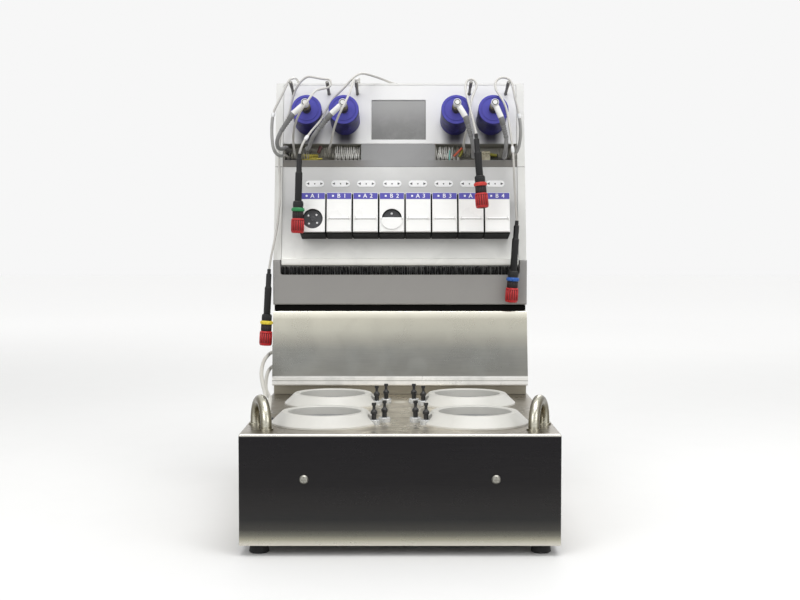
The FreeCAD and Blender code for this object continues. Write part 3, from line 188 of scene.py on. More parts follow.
# %% Routes of the leads that go back into the top
ROUTES |= {
    "lead_left": (
        (-125.5, 326, 366.3), (-125.5, 311.3, 369.4), (-132.5, 297, 366), (-138.5, 291, 371.5),
        (-140.5, 290.5, 386), (-140.5, 292, 403), (-138.5, 293.5, 416), (-132.5, 293.5, 427),
        (-126.5, 294, 438.5), (-122.5, 298, 450), (-119.5, 310, 453), (-118, 329, 456),
        (-117.5, 345, 457), (-117, 369, 456), (-117, 392, 455),
    ),
    "lead_middle": (
        (-79.5, 327.4, 372.6), (-79.5, 313.7, 375.5), (-77, 295.5, 377), (-74, 281, 384.5),
        (-71, 266.5, 395), (-66, 254, 405.5), (-61, 251, 415), (-56.5, 259, 425.5),
        (-53, 274.5, 437), (-51, 292.5, 450.3), (-48.5, 308, 450.6), (-46.5, 329, 455.5),
        (-46.5, 346, 457.5), (-47, 369, 456), (-47.5, 392, 455),
    ),
}

# %% Routes of the drive cables
ROUTES |= {
    "drive_cable_1": (
        (-125.2, 327.8, 374.6), (-125, 315.3, 377.7), (-127.5, 301.5, 376), (-131, 287.5, 373.2),
        (-133.5, 275.2, 375.3), (-132.4, 268.2, 384.2), (-127.9, 266.5, 391.5),
    ),
    "drive_cable_2": (
        (-104, 327.9, 375.1), (-104, 315.4, 377.7), (-103, 301.5, 374.5), (-100, 287, 373.5),
        (-97.5, 275, 378), (-94.2, 268.5, 386), (-88.6, 266.7, 392.4),
    ),
    "drive_cable_3": (
        (83.5, 327.3, 372.2), (83.5, 313.6, 374), (81.5, 300, 366.5), (80, 286, 364.5),
        (79.5, 273, 369), (78.7, 266.6, 376.6), (76.5, 265, 384.8),
    ),
    "drive_cable_4": (
        (118.5, 327.3, 372.2), (118, 313.6, 373.5), (116, 300, 366), (113.5, 285.5, 363.5),
        (113.5, 272.5, 367.5), (114.4, 266.3, 375.4), (114.4, 264.8, 383.6),
    ),
}

# %% Routes of the side cables
ROUTES |= {
    "side_cable_upper": (
        (-104, 448, 146), (-104, 458, 146), (-108, 470, 146), (-118, 479.5, 146.5),
        (-131, 480, 146), (-141.5, 471.5, 145.5), (-145.5, 458, 145.5), (-146.5, 435, 145),
        (-146, 395, 145), (-146, 355, 145.5), (-146, 310, 147.5), (-147.5, 268, 144.5),
        (-146, 232, 140.5), (-143.5, 200, 135.5), (-138.5, 168, 128.5), (-133.5, 141, 124.5),
        (-131, 122, 124.5), (-130.5, 110.5, 121.5), (-130, 103, 114.5), (-130, 100.5, 105.5),
        (-130, 100, 97),
    ),
    "side_cable_lower": (
        (-104, 448, 129), (-104, 458, 129), (-108, 470, 129), (-118, 479.5, 128.5),
        (-131, 480, 128.5), (-141.5, 471.5, 128.5), (-145.5, 458, 128.5), (-146.5, 435, 129),
        (-146, 395, 129), (-146, 355, 129), (-145.5, 310, 131), (-144.5, 270, 129.5),
        (-142, 230, 125), (-138, 190, 121.5), (-132, 155, 120), (-128, 131, 120.5),
        (-125.5, 115, 121.5), (-124.5, 103, 120.5), (-124.3, 94, 115.5), (-124.3, 89.3, 108),
        (-124.3, 88.2, 100.5), (-124.3, 88.4, 94.5),
    ),
}

# %% Cables from their points
RADII = {"sensor": 1.25, "lead": 1.25, "drive": 2.15, "side": 2}


def hang_cable(name, points, radius):
    """A cable object of that radius, in millimetres, along the given drawing points."""
    curve = bpy.data.curves.new(name, "CURVE")
    curve.dimensions = "3D"
    curve.resolution_u = 10
    curve.bevel_depth = radius * MM
    curve.bevel_resolution = 4
    curve.use_fill_caps = True
    spline = curve.splines.new("NURBS")
    spline.points.add(len(points) - 1)
    for knot, point in zip(spline.points, points):
        knot.co = (*in_row(*point), 1)
    spline.order_u = 3
    spline.use_endpoint_u = True
    return add_object(name, curve)


def centre_line(cable):
    """The points that a cable's own spline runs through, read without its thickness."""
    thickness = cable.data.bevel_depth
    cable.data.bevel_depth = 0
    line = bpy.data.meshes.new_from_object(cable)
    cable.data.bevel_depth = thickness
    points = [vertex.co.copy() for vertex in line.vertices]
    bpy.data.meshes.remove(line)
    return points


cables = {
    name: hang_cable(name, points, RADII[name.split("_")[0]])
    for name, points in ROUTES.items()
}
with_cable = {name: [] for name in ROUTES}
for name, cable in cables.items():
    line = centre_line(cable)
    print(name, "length", round(sum((b - a).length for a, b in zip(line, line[1:])), 4))

# %% [markdown]
# ## Building materials from nodes
#
# A finish is a colour, a roughness and a small relief, and on a used machine none of them is
# even. A small class makes each node one short call. A colour of three numbers is as a screen
# shows it, 0 to 255. Effects that several finishes share are node groups.

# %% Helpers for node trees
def linear(colour):
    """A three-number screen colour as Blender's linear light. Anything else passes."""
    if not isinstance(colour, tuple) or len(colour) != 3:
        return colour
    return (*[
        part / 255 / 12.92 if part <= 10 else ((part / 255 + 0.055) / 1.055) ** 2.4
        for part in colour
    ], 1)


class Wiring:
    """Adds nodes to one tree."""

    def __init__(self, tree, material=None):
        self.tree = tree
        self.material = material

    def feed(self, socket, value):
        """Links a socket to a value, or sets it where the value is constant."""
        if isinstance(value, bpy.types.NodeSocket):
            self.tree.links.new(value, socket)
        else:
            socket.default_value = value

    def add(self, kind, inputs=None, **settings):
        """Adds a node with its settings, and its inputs by name or number: its outputs."""
        made = self.tree.nodes.new(kind)
        for name, value in settings.items():
            setattr(made, name, value)
        for key, value in (inputs or {}).items():
            self.feed(made.inputs[key], value)
        return made.outputs

    def calculate(self, operation, *values, clamp=False):
        return self.add("ShaderNodeMath", dict(enumerate(values)), operation=operation,
                        use_clamp=clamp)[0]

    def plus(self, first, second, clamp=False):
        return self.calculate("ADD", first, second, clamp=clamp)

    def times(self, first, second, clamp=False):
        return self.calculate("MULTIPLY", first, second, clamp=clamp)

    def greater(self, first, second):
        return self.calculate("MAXIMUM", first, second)

    def size_of(self, value):
        return self.calculate("ABSOLUTE", value)

    def vector(self, operation, *values):
        return self.add("ShaderNodeVectorMath", dict(enumerate(values)), operation=operation)

    def blend(self, amount, first, second):
        """A colour between two others."""
        return self.add("ShaderNodeMix", {0: amount, 6: linear(first), 7: linear(second)},
                        data_type="RGBA")[2]

    def spread(self, value, low, high, new_low=0, new_high=1):
        """Maps low to high onto new_low to new_high, smoothly and within limits."""
        return self.add("ShaderNodeMapRange",
                        {0: value, 1: low, 2: high, 3: new_low, 4: new_high},
                        interpolation_type="SMOOTHSTEP")[0]

    def noise(self, where, scale, detail=2, **more):
        return self.add("ShaderNodeTexNoise",
                        {"Vector": where, "Scale": scale, "Detail": detail, **more})[0]

    def point(self, axis=None):
        """Where a point lies on its own object, or how far along one axis."""
        where = self.add("ShaderNodeTexCoord")["Object"]
        return self.add("ShaderNodeSeparateXYZ", {0: where})[axis] if axis else where

    def facing(self, axis):
        """How far a face points along an axis, -1 to 1."""
        normal = self.add("ShaderNodeNewGeometry")["Normal"]
        return self.add("ShaderNodeSeparateXYZ", {0: normal})[axis]

    def relief(self, strength, distance, level):
        return self.add("ShaderNodeBump", {"Strength": strength, "Distance": distance,
                                           "Height": level})[0]

    def use(self, group, **inputs):
        """Places a group. Its inputs are named with _ for a space: its outputs."""
        made = self.tree.nodes.new("ShaderNodeGroup")
        made.node_tree = group
        for name, value in inputs.items():
            self.feed(made.inputs[name.replace("_", " ")], value)
        return made.outputs

    def surface(self, **inputs):
        """Feeds the Principled shader, whose inputs are named with _ for a space."""
        shader = self.tree.nodes["Principled BSDF"]
        for name, value in inputs.items():
            self.feed(shader.inputs[name.replace("_", " ")], value)


def new_material(name, rough, metal=0):
    """The wiring of a new material."""
    material = bpy.data.materials.new(name)
    material.use_nodes = True
    wiring = Wiring(material.node_tree, material)
    wiring.surface(Roughness=rough, Metallic=metal)
    return wiring


# %% Helpers for shared node groups
NUMBER, TRIPLE = "NodeSocketFloat", "NodeSocketVector"


def new_group(name, **inputs):
    """An empty shader group with named inputs: its wiring and those inputs."""
    group = bpy.data.node_groups.new(name, "ShaderNodeTree")
    for socket, value in inputs.items():
        made = group.interface.new_socket(
            socket.replace("_", " "), in_out="INPUT",
            socket_type=TRIPLE if isinstance(value, tuple) else NUMBER)
        made.default_value = value
    return Wiring(group), group.nodes.new("NodeGroupInput").outputs


def end_group(wiring, **results):
    """Gives a group its named outputs."""
    for socket in results:
        wiring.tree.interface.new_socket(socket, in_out="OUTPUT",
                                         socket_type=TRIPLE if socket == "Normal" else NUMBER)
    out = wiring.tree.nodes.new("NodeGroupOutput")
    for socket, value in results.items():
        wiring.feed(out.inputs[socket], value)
    return wiring.tree


# %% [markdown]
# Brushed steel is sheet that a belt has scratched in one direction. The scratches could be drawn
# one by one, but noise squeezed across the lines and stretched along them gives the same look at
# any size. A slower noise makes the wide soft bands that a belt leaves.

# %% Group: brushed lines
w, ends = new_group("brushed_lines", Stretch=(1, 60, 60), Fineness=40, Depth=0.15)
stretched = w.vector("MULTIPLY", w.point(), ends["Stretch"])[0]
lines = w.noise(stretched, ends["Fineness"], 4, Roughness=0.65)
brushed_lines = end_group(
    w, Lines=lines, Bands=w.noise(stretched, w.times(ends["Fineness"], 0.06)),
    Normal=w.relief(ends["Depth"], 0.0002, lines))

# %% [markdown]
# A moulded or painted face has the fine skin of its mould or the orange peel of its paint.
# Handling leaves soft patches a few centimetres wide, and dust settles on what faces up. Dust
# could be scattered as specks, but a mask from the direction of the face and some noise is light
# and works on every part.

# %% Groups: moulded grain, handling wear, settled dust
w, ends = new_group("moulded_grain", Grain_Size=0.5, Depth=0.2)
grain = w.noise(w.point(), w.calculate("DIVIDE", 1000, ends["Grain Size"]), 3)
moulded_grain = end_group(w, Grain=grain, Normal=w.relief(ends["Depth"], 0.0003, grain))

w, ends = new_group("handling_wear", Patch_Size=40, Amount=0.4)
per_metre = w.calculate("DIVIDE", 1000, ends["Patch Size"])
patches = w.noise(w.point(), per_metre, 5, Roughness=0.6, Distortion=0.6)
spots = w.noise(w.point(), w.times(per_metre, 9))
marked = w.greater(w.spread(patches, 0.4, 0.72), w.spread(spots, 0.62, 0.74, 0, 0.5))
handling_wear = end_group(w, Mask=w.times(marked, ends["Amount"], clamp=True))

w, ends = new_group("settled_dust", Amount=0.3)
specks = w.spread(w.noise(w.point(), 420, 4, Roughness=0.7), 0.35, 0.75)
drifts = w.spread(w.noise(w.point(), 22), 0.25, 0.75)
lying = w.spread(w.facing("Z"), 0.5, 0.95)
settled = w.times(lying, w.times(specks, drifts))
settled_dust = end_group(w, Mask=w.times(settled, ends["Amount"], clamp=True))

# %% [markdown]
# Polished round metal is dark where it turns towards the sides of a room and light where it faces
# the front or the ceiling. In a plain white studio a steel rod would look like chalk, so this
# group paints that reflection into the colour, from which way each face points on the object
# itself.

# %% Group: room on metal
w, ends = new_group("room_on_metal", Contrast=1)
# painted reflection of a room, read from which way each face points
sideways = w.plus(w.size_of(w.facing("X")), w.times(w.noise(w.point(), 60), 0.25))
dark = w.greater(w.spread(sideways, 0.35, 0.95), w.spread(w.facing("Z"), 0.1, -0.7))
room_on_metal = end_group(w, Light=w.calculate(
    "SUBTRACT", 1, w.times(dark, ends["Contrast"]), clamp=True))
print("shader groups", [group.name for group in bpy.data.node_groups])

# %% [markdown]
# ## Two families of finish
#
# Most parts are either moulded or painted, or bare metal. Each family gets one function, so a new
# finish is one line: its colour, how rough it is and how it has aged.

# %% Moulded and painted finishes
DUST = (205, 200, 190)


def handled_patches(w, amount, size=40):
    """A mask of handled patches of that size, in millimetres."""
    return w.use(handling_wear, Patch_Size=size, Amount=amount)["Mask"]


def moulded(name, colour, rough=0.45, grain=0.6, depth=0.2, wear=0.35, worn=0.82, dust=0.25,
            gloss=0.5):
    """Plastic, rubber or paint of one colour, with grain, handled patches and dust."""
    w = new_material(name, rough)
    skin = w.use(moulded_grain, Grain_Size=grain, Depth=depth)
    patches = handled_patches(w, wear)
    dusty = w.use(settled_dust, Amount=dust)["Mask"]
    colour = linear(colour)
    handled = (*[part * worn for part in colour[:3]], 1)
    speckled = w.blend(w.times(skin["Grain"], 0.16), w.blend(patches, colour, handled), handled)
    shine = w.plus(w.times(patches, 0.2), rough - 0.03)
    w.surface(Specular_IOR_Level=gloss, Base_Color=w.blend(dusty, speckled, DUST),
              Roughness=w.plus(shine, w.times(dusty, 0.3), clamp=True), Normal=skin["Normal"])
    return w.material


# %% Metal finishes
def brushed(name, colour, dark, rough=0.3, stretch=(1, 60, 60), fineness=40,
            depth=0.12, room=0, dust=0.15):
    """Bare metal with brushing lines, and with a painted reflection of the room where it is
    rounded.
    """
    w = new_material(name, rough, metal=1)
    scratches = w.use(brushed_lines, Stretch=stretch, Fineness=fineness, Depth=depth)
    smudges = handled_patches(w, 0.5, 25)
    dusty = w.use(settled_dust, Amount=dust)["Mask"]
    even = w.times(w.spread(scratches["Lines"], 0.3, 0.7, 0.72, 1),
                   w.use(room_on_metal, Contrast=room)["Light"])
    shine = w.plus(w.plus(w.times(smudges, 0.14), rough - 0.05),
                   w.times(scratches["Bands"], 0.12))
    w.surface(Base_Color=w.blend(dusty, w.blend(even, dark, colour), DUST),
              Roughness=w.plus(shine, w.times(dusty, 0.4), clamp=True),
              Normal=scratches["Normal"])
    return w.material


# %% Give a finish to CAD nodes
def dress(material, *nodes):
    """Puts one material in every slot of the named CAD nodes."""
    for node in nodes:
        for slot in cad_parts[node].material_slots:
            slot.material = material


# %% [markdown]
# ## Steel of the base
#
# The base is a folded stainless box, brushed from side to side. Its front stands over the edge of
# a bench, so most of it mirrors a dark room and only the lowest centimetre picks up the bench's
# light. Dark boards could do that, but they would stand in every other view. Here the grade is
# part of the metal's colour, measured up the front in object coordinates and only on faces that
# point forwards. The top is lighter, and brightest at one spot between the wells, where a lamp
# shows in it.

# %% Base housing
BASE_TOP = 104


def height_steps(w, *steps):
    """A colour ramp up the object: (height in the drawing, red, green, blue) from below."""
    low, high = height(steps[0][0]), height(steps[-1][0])
    along = w.add("ShaderNodeMapRange", {0: w.point("Z"), 1: low, 2: high})[0]
    colour = w.add("ShaderNodeValToRGB", {0: along})[0]
    stops = colour.node.color_ramp.elements
    while len(stops) < len(steps):
        stops.new(0.5)
    for stop, (level, *parts) in zip(stops, steps):
        stop.position = (height(level) - low) / (high - low)
        stop.color = linear(tuple(parts))
    return colour


def facing_forwards(w, start=-0.4, full=-0.9):
    """1 on faces that point to the front of the machine, 0 on the rest."""
    return w.spread(w.facing("Y"), start, full)


w = new_material("base_steel", 0.27, metal=1)
scratches = w.use(brushed_lines, Stretch=(1, 70, 70), Fineness=34, Depth=0.08)
smudges = handled_patches(w, 0.7, 30)
# painted reflection up the front: dark room, bench light at the foot, bright line at the top bend
front = height_steps(
    w, (6, 204, 200, 190), (8, 190, 187, 173), (10.3, 160, 157, 141), (14, 112, 111, 102),
    (19, 72, 71, 68), (28, 52, 52, 52), (38, 50, 49, 49), (60, 41, 40, 41),
    (101.4, 37, 36, 38), (102.4, 208, 206, 198), (104, 214, 212, 206))
front = w.blend(w.spread(scratches["Lines"], 0.25, 0.75, 0, 0.02), front, (120, 118, 112))
rest = w.blend(w.spread(scratches["Lines"], 0.3, 0.7), (226, 218, 203), (238, 231, 217))
rest = w.blend(w.spread(w.size_of(w.point("X")), 0.03, 0.09), rest, (142, 135, 122))
rest = w.blend(smudges, rest, (146, 138, 124))
# painted highlight: a bright spot on the top between the wells, where a lamp shows
offset = w.vector("SUBTRACT", w.point(), in_row(0, 222, BASE_TOP))[0]
away = w.vector("LENGTH", w.vector("MULTIPLY", offset, (1, 0.7, 0))[0])[1]
rest = w.blend(w.spread(away, 0.011, 0.003), rest, (1, 0.97, 0.9, 1))
forwards = facing_forwards(w, 0, -0.35)
dusty = w.times(w.use(settled_dust, Amount=0.16)["Mask"],
                w.spread(forwards, 0, 1, 1, 0.1))
shine = w.plus(w.plus(w.times(smudges, 0.16), 0.2), w.times(scratches["Bands"], 0.14))
w.surface(Base_Color=w.blend(dusty, w.blend(forwards, rest, front), DUST),
          Roughness=shine, Normal=scratches["Normal"])
dress(w.material, "base_housing")
base_low, base_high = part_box("base_housing")
print("base housing", [round(value, 3) for value in base_high - base_low])

# %% [markdown]
# ## The splash plate
#
# Behind the wells a folded plate of the same steel slopes up to the tower. Its colour holds a
# painted reflection, pale near the top as if it mirrored the ceiling and darker in the lower
# half, and it has soft blotches. The rounded nose at its foot is painted bright as a highlight,
# with one thin seam line. A nose that mirrored only the dark base would stay dark, so it is also
# less metallic than the slope above it.

# %% Splash plate
w = new_material("splash_steel", 0.32, metal=1)
scratches = w.use(brushed_lines, Stretch=(1, 50, 50), Fineness=36, Depth=0.08)
stains = handled_patches(w, 1, 38)
blotches = w.noise(w.vector("MULTIPLY", w.point(), (14, 8, 9))[0], 3, 3)
# painted reflection up the plate (pale top, dark lower half) and a painted highlight on the nose
face = height_steps(
    w, (115, 246, 245, 242), (119.8, 250, 249, 245), (120.4, 120, 118, 112),
    (121, 250, 249, 245), (124.6, 246, 245, 242), (125.8, 126, 125, 120),
    (132, 124, 124, 119), (143, 126, 126, 122), (154, 133, 133, 128),
    (164, 156, 154, 145), (175, 180, 178, 166), (187, 190, 187, 173),
    (192, 226, 223, 208), (194, 246, 243, 229), (196, 250, 248, 236))
face = w.blend(w.spread(scratches["Lines"], 0.25, 0.75, 0, 0.08), face, (200, 198, 188))
marked = w.times(w.spread(blotches, 0.45, 0.7, 0, 0.25),
                 w.spread(w.point("Z"), height(172), height(142)))
face = w.blend(marked, face, (150, 152, 148))
w.surface(Base_Color=w.blend(w.times(stains, 0.12), face, (120, 119, 112)),
          Metallic=w.spread(w.point("Z"), height(124.6), height(125.8), 0.15, 1),
          Roughness=w.plus(w.times(stains, 0.15), 0.27), Normal=scratches["Normal"])
dress(w.material, "splash_plate")

# %% [markdown]
# ## The other metal parts
#
# Turned and drawn parts were ground round their own axis or left as drawn, so their lines run
# another way from the sheet's. Handles, screws and pegs are round and take the painted room
# reflection at full strength. The wells are bead-blasted aluminium, with almost no lines.

# %% Wells, sinks, handles, motors, screws
# node, finish, bright and dark colour, roughness, stretch, fineness, depth, room, dust
for node, *finish in (
    ("well_cups", "well_aluminium", (198, 198, 198), (166, 166, 166), 0.6,
     (40, 40, 40), 30, 0.1, 0, 0.1),
    ("heat_sinks", "sink_aluminium", (190, 192, 195), (140, 142, 146), 0.42,
     (30, 1, 30)),
    ("handles", "handle_steel", (200, 198, 184), (92, 85, 66), 0.22,
     (20, 20, 60), 12, 0.03, 0.95, 0.05),
    ("base_floor", "floor_steel", (132, 130, 126), (100, 98, 95), 0.4),
    ("pump_motors", "motor_steel", (170, 170, 168), (104, 104, 104), 0.35,
     (60, 60, 1), 40, 0.12, 0.5),
    ("cable_pegs", "peg_steel", (150, 148, 144), (58, 56, 54), 0.4,
     (60, 2, 60), 30, 0.5, 0.7),
    ("panel_screws", "screw_steel", (168, 166, 158), (58, 56, 52), 0.28,
     (40, 40, 40), 20, 0.1, 0.9),
):
    dress(brushed(*finish), node)

# %% [markdown]
# ## Painted tower and moulded covers
#
# The tower is sheet metal under a very light powder paint. The panels on its slope are a silver-
# grey laminate with faint cloudy patches, and the shelf and the lower fascia are darker moulded
# covers. Collars, pumps and lids are white or black mouldings, and feet and cable guides rubber.
# Rougher and softer patches tell them apart more than colour.

# %% Moulded and painted parts
finishes = {}
# nodes, finish, colour, roughness, grain in mm, depth, wear, worn, dust, gloss
for nodes, name, *values in (
    (["tower_shell"], "tower_paint", (230, 230, 226), 0.42, 0.9, 0.12, 0.18, 0.9, 0.3),
    (["tower_back"], "back_paint", (218, 218, 216), 0.45, 0.9, 0.12, 0.2, 0.9),
    (["upper_panel"], "upper_laminate", (236, 236, 235), 0.4, 1.6, 0.05, 0.16, 0.86),
    (["lower_fascia"], "fascia_grey", (152, 150, 147), 0.4, 1, 0.08, 0.3, 0.88),
    (["shelf_cover"], "shelf_grey", (150, 150, 150), 0.45, 0.8, 0.1, 0.4, 0.86, 0.5),
    (["port_trays"], "tray_grey", (176, 174, 166), 0.6, 0.8, 0.1, 0.8, 0.8),
    (["base_feet"], "foot_rubber", (24, 24, 25), 0.75, 0.5, 0.35, 0.35, 0.82, 0.35),
    (["cable_guides"], "guide_rubber", (58, 58, 60), 0.6),
    ([f"well_collar_{i}" for i in range(1, 5)], "collar_white", (206, 205, 199), 0.34, 1.2,
     0.08, 0.55, 0.88, 0.1),
    (["dust_plugs"], "plug_black", (20, 20, 21), 0.42, 0.5, 0.15, 0.35, 0.82, 0.3),
    (["pump_housings"], "pump_black", (16, 16, 15), 0.6, 0.6, 0.2, 0.35, 0.82, 0.1, 0.12),
    (["pump_faces"], "pump_white", (246, 246, 244), 0.38, 1, 0.08, 0.2, 0.93),
    ([f"pump_lid_{i}" for i in range(2, 9)], "lid_white", (247, 247, 245), 0.3, 1, 0.05,
     0.2, 0.93),
    ([f"pump_rotor_{i}" for i in range(1, 9)], "rotor_grey", (66, 67, 70), 0.38, 0.5, 0.15,
     0.7, 0.6),
    (["cable_sockets"], "cable_socket_grey", (128, 126, 124), 0.4, 0.5, 0.3, 0.7, 0.6),
):
    finishes[name] = moulded(name, *values)
    dress(finishes[name], *nodes)

# %% [markdown]
# Little light reaches the panel close under each drive, and the foot of the shelf's front is dark
# except in the middle. Soft lamps leave both places too light, so each finish gets a mask in
# object coordinates that darkens its colour there.

# %% Shade under the drives and along the shelf
DRIVE_X = (-102, -61.5, 61.5, 102)


def shade(name, mask, colour):
    """Darkens a finish where a mask, made by a function of its wiring, is 1."""
    w = Wiring(finishes[name].node_tree)
    base = w.tree.nodes["Principled BSDF"].inputs["Base Color"].links[0].from_socket
    w.surface(Base_Color=w.blend(mask(w), base, colour))


def under_drives(w):
    near = 0
    for x in DRIVE_X:
        apart = w.size_of(w.calculate("SUBTRACT", w.point("X"), x * MM))
        near = w.greater(near, w.spread(apart, 0.018, 0.003))
    for far, full in ((367, 389), (424, 404)):
        near = w.times(near, w.spread(w.point("Z"), height(far), height(full)))
    return near


def along_shelf(w):
    return w.times(w.spread(w.size_of(w.point("X")), 0.02, 0.06),
                   w.spread(w.point("Z"), height(365), height(362)))


shade("upper_laminate", under_drives, (40, 38, 50))
shade("shelf_grey", along_shelf, (122, 119, 114))

# %% [markdown]
# The pump panel is the same laminate, but its colour runs from a painted highlight, nearly white,
# along its rolled lip to painted shadow, grey, beside the pumps: again a ramp up the height.

# %% Pump panel
w = new_material("pump_laminate", 0.36)
skin = w.use(moulded_grain, Grain_Size=1.6, Depth=0.05)
patches = handled_patches(w, 0.5)
# painted highlight along the lip and painted shadow beside the pumps
colour = height_steps(
    w, (247, 226, 226, 220), (250, 255, 255, 250), (254, 255, 255, 250),
    (257, 250, 250, 246), (265, 238, 238, 235), (285, 226, 226, 224),
    (310, 196, 196, 195), (335, 206, 206, 205), (356, 222, 222, 220))
w.surface(Base_Color=w.blend(w.times(patches, 0.4), colour, (184, 184, 182)),
          Roughness=w.plus(w.times(patches, 0.2), 0.33), Normal=skin["Normal"])
dress(w.material, "pump_panel")

# %% [markdown]
# ## Parts with several colours in one node
#
# The blocks on the cable shelf are one CAD node, but real terminal blocks come in several
# colours. The colour is picked by how far across the machine a point lies.

# %% Shelf fittings
w = new_material("fitting_plastic", 0.4)
skin = w.use(moulded_grain, Grain_Size=0.4, Depth=0.25)
patches = handled_patches(w, 0.9, 6)
colour = w.blend(patches, (250, 249, 244), (206, 204, 198))
# where the colour starts (in metres across), to which side, and its two shades
for edge, side, bright, dull in (
    (-0.0865, "LESS_THAN", (222, 206, 84), (140, 126, 44)),
    (0.0865, "GREATER_THAN", (222, 216, 190), (170, 160, 130)),
    (0.1018, "GREATER_THAN", (38, 38, 36), (84, 80, 30)),
):
    colour = w.blend(w.calculate(side, w.point("X"), edge), colour,
                     w.blend(patches, bright, dull))
w.surface(Base_Color=colour, Roughness=w.plus(w.times(patches, 0.2), 0.35),
          Normal=skin["Normal"])
dress(w.material, "shelf_fittings")

# %% [markdown]
# ## Clear sockets and the display
#
# The sensor sockets beside the wells are clear acrylic, a little cloudy from cleaning. The
# display is switched off: a smooth grey film under glass, with a painted reflection that makes it
# slightly lighter towards its top. One takes transmission and the other a clear coat.

# %% Clear acrylic and display glass
w = new_material("socket_clear", 0.12)
haze = handled_patches(w, 0.8, 5)
skin = w.use(moulded_grain, Grain_Size=1.2, Depth=0.12)
w.surface(Base_Color=w.blend(haze, (236, 238, 238), (206, 208, 208)),
          Roughness=w.plus(w.times(haze, 0.35), 0.06), Normal=skin["Normal"],
          Transmission_Weight=0.5, IOR=1.49)
dress(w.material, "sensor_sockets")

w = new_material("display_glass", 0.2)
lifted = w.plus(w.point("Z"), w.times(w.noise(w.point(), 26), 0.012))
dusty = handled_patches(w, 0.2, 12)
# painted reflection: the grey lightens towards the top of the glass
grey = w.blend(w.spread(lifted, height(394), height(440)), (120, 120, 119), (160, 160, 159))
w.surface(Base_Color=w.blend(dusty, grey, (160, 160, 159)),
          Roughness=w.plus(w.times(dusty, 0.3), 0.18), Coat_Weight=0.4)
dress(w.material, "display_glass")

# %% [markdown]
# ## The drives
#
# Four blue-violet anodised motors stand out over the wells. Anodising is a dye in the skin of the
# metal, so the colour is deep and even, with the fine rings of the lathe on the round face.
# Painted shade makes the sides darker, most of all underneath, and the round face lighter. A dyed
# skin gives little white glare where it turns away, so its index of refraction is low.

# %% Anodised drives
w = new_material("drive_violet", 0.4)
turned = w.use(brushed_lines, Stretch=(50, 1, 50), Fineness=30, Depth=0.05)
wear = handled_patches(w, 0.5, 14)
# painted shade: darker on faces that point down, lighter on those facing up and on the front
side = w.blend(w.spread(w.facing("Z"), -0.6, 0.9), (34, 34, 84), (66, 62, 156))
colour = w.blend(facing_forwards(w), side, (92, 92, 180))
colour = w.blend(w.spread(turned["Lines"], 0.3, 0.7, 0, 0.2), colour, (60, 54, 140))
w.surface(IOR=1.12, Base_Color=w.blend(wear, colour, (98, 92, 178)),
          Roughness=w.plus(w.times(wear, 0.2), 0.3), Normal=turned["Normal"])
dress(w.material, "drive_motors")

# %% [markdown]
# ## Making pieces
#
# Turned shapes (connectors, nuts, pins) are a profile spun round an axis. The profile is a list
# of radius, distance along the axis and, where it is not the first, the finish there.

# %% Helpers for new pieces
def add_piece(name, mesh, body="station"):
    """Links a mesh as a piece that rides on a CAD body."""
    piece = add_object(name, mesh)
    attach(piece, body)
    return piece


def finish_mesh(name, shape, *materials, sharp=32):
    """Turns a bmesh into a mesh with outward normals, smooth but for its sharp edges."""
    bmesh.ops.recalc_face_normals(shape, faces=shape.faces)
    mesh = bpy.data.meshes.new(name)
    shape.to_mesh(mesh)
    shape.free()
    mesh.shade_smooth()
    mesh.set_sharp_from_angle(angle=math.radians(sharp))
    for material in materials:
        mesh.materials.append(material)
    return mesh


def skin_rings(shape, rings, finishes):
    """Faces between rings of points. A ring of one point closes the end."""
    for low, high, finish in zip(rings, rings[1:], finishes):
        sides = max(len(low), len(high))
        for i in range(sides):
            j = (i + 1) % sides
            corners = (low[i % len(low)], low[j % len(low)],
                       high[j % len(high)], high[i % len(high)])
            shape.faces.new(tuple(dict.fromkeys(corners))).material_index = finish


def circle(radius, along, sides):
    """Points of a circle round +Z, or just its centre where the radius is 0."""
    turns = [2 * math.pi * i / sides for i in range(sides if radius else 1)]
    return [Vector((radius * math.cos(turn), radius * math.sin(turn), along)) for turn in turns]


def spin(shape, profile, place, sides):
    """Adds a turned shape to a bmesh. place takes its axis, +Z in millimetres, to metres."""
    rings = [[shape.verts.new(place @ point) for point in circle(radius, along, sides)]
             for radius, along, *_ in profile]
    skin_rings(shape, rings, [finish[0] if finish else 0 for _, _, *finish in profile[1:]])


def turned_mesh(name, profile, place, sides, *materials, sharp=32):
    """A spun profile as a mesh with its materials."""
    shape = bmesh.new()
    spin(shape, profile, place, sides)
    return finish_mesh(name, shape, *materials, sharp=sharp)


def along_axis(start, end):
    """A matrix that puts +Z in millimetres on the line from start to end, in metres."""
    turn = (end - start).normalized().to_track_quat("Z", "Y").to_matrix().to_4x4()
    return Matrix.Translation(start) @ turn @ Matrix.Scale(MM, 4)


def merge(name, meshes):
    """One mesh from several, which keep their materials."""
    holders = [add_object(name, mesh) for mesh in meshes]
    with bpy.context.temp_override(active_object=holders[0], selected_editable_objects=holders):
        bpy.ops.object.join()
    mesh = holders[0].data
    bpy.data.objects.remove(holders[0])
    mesh.name = name
    return mesh


# %% [markdown]
# Geometry Nodes make what repeats. Each tree takes its sizes through named inputs, builds its
# result from nothing, and ends by turning instances into real faces with a material. The result
# is read back as a plain mesh, because an exported file keeps no modifiers.

# %% Helpers for Geometry Nodes
def new_growth(name, **inputs):
    """A Geometry Nodes tree with named inputs: its wiring and those inputs."""
    tree = bpy.data.node_groups.new(name, "GeometryNodeTree")
    for socket, kind in {**inputs, "Material": "Material"}.items():
        tree.interface.new_socket(socket.replace("_", " "), in_out="INPUT",
                                  socket_type="NodeSocket" + kind)
    tree.interface.new_socket("Geometry", in_out="OUTPUT", socket_type="NodeSocketGeometry")
    return Wiring(tree), tree.nodes.new("NodeGroupInput").outputs


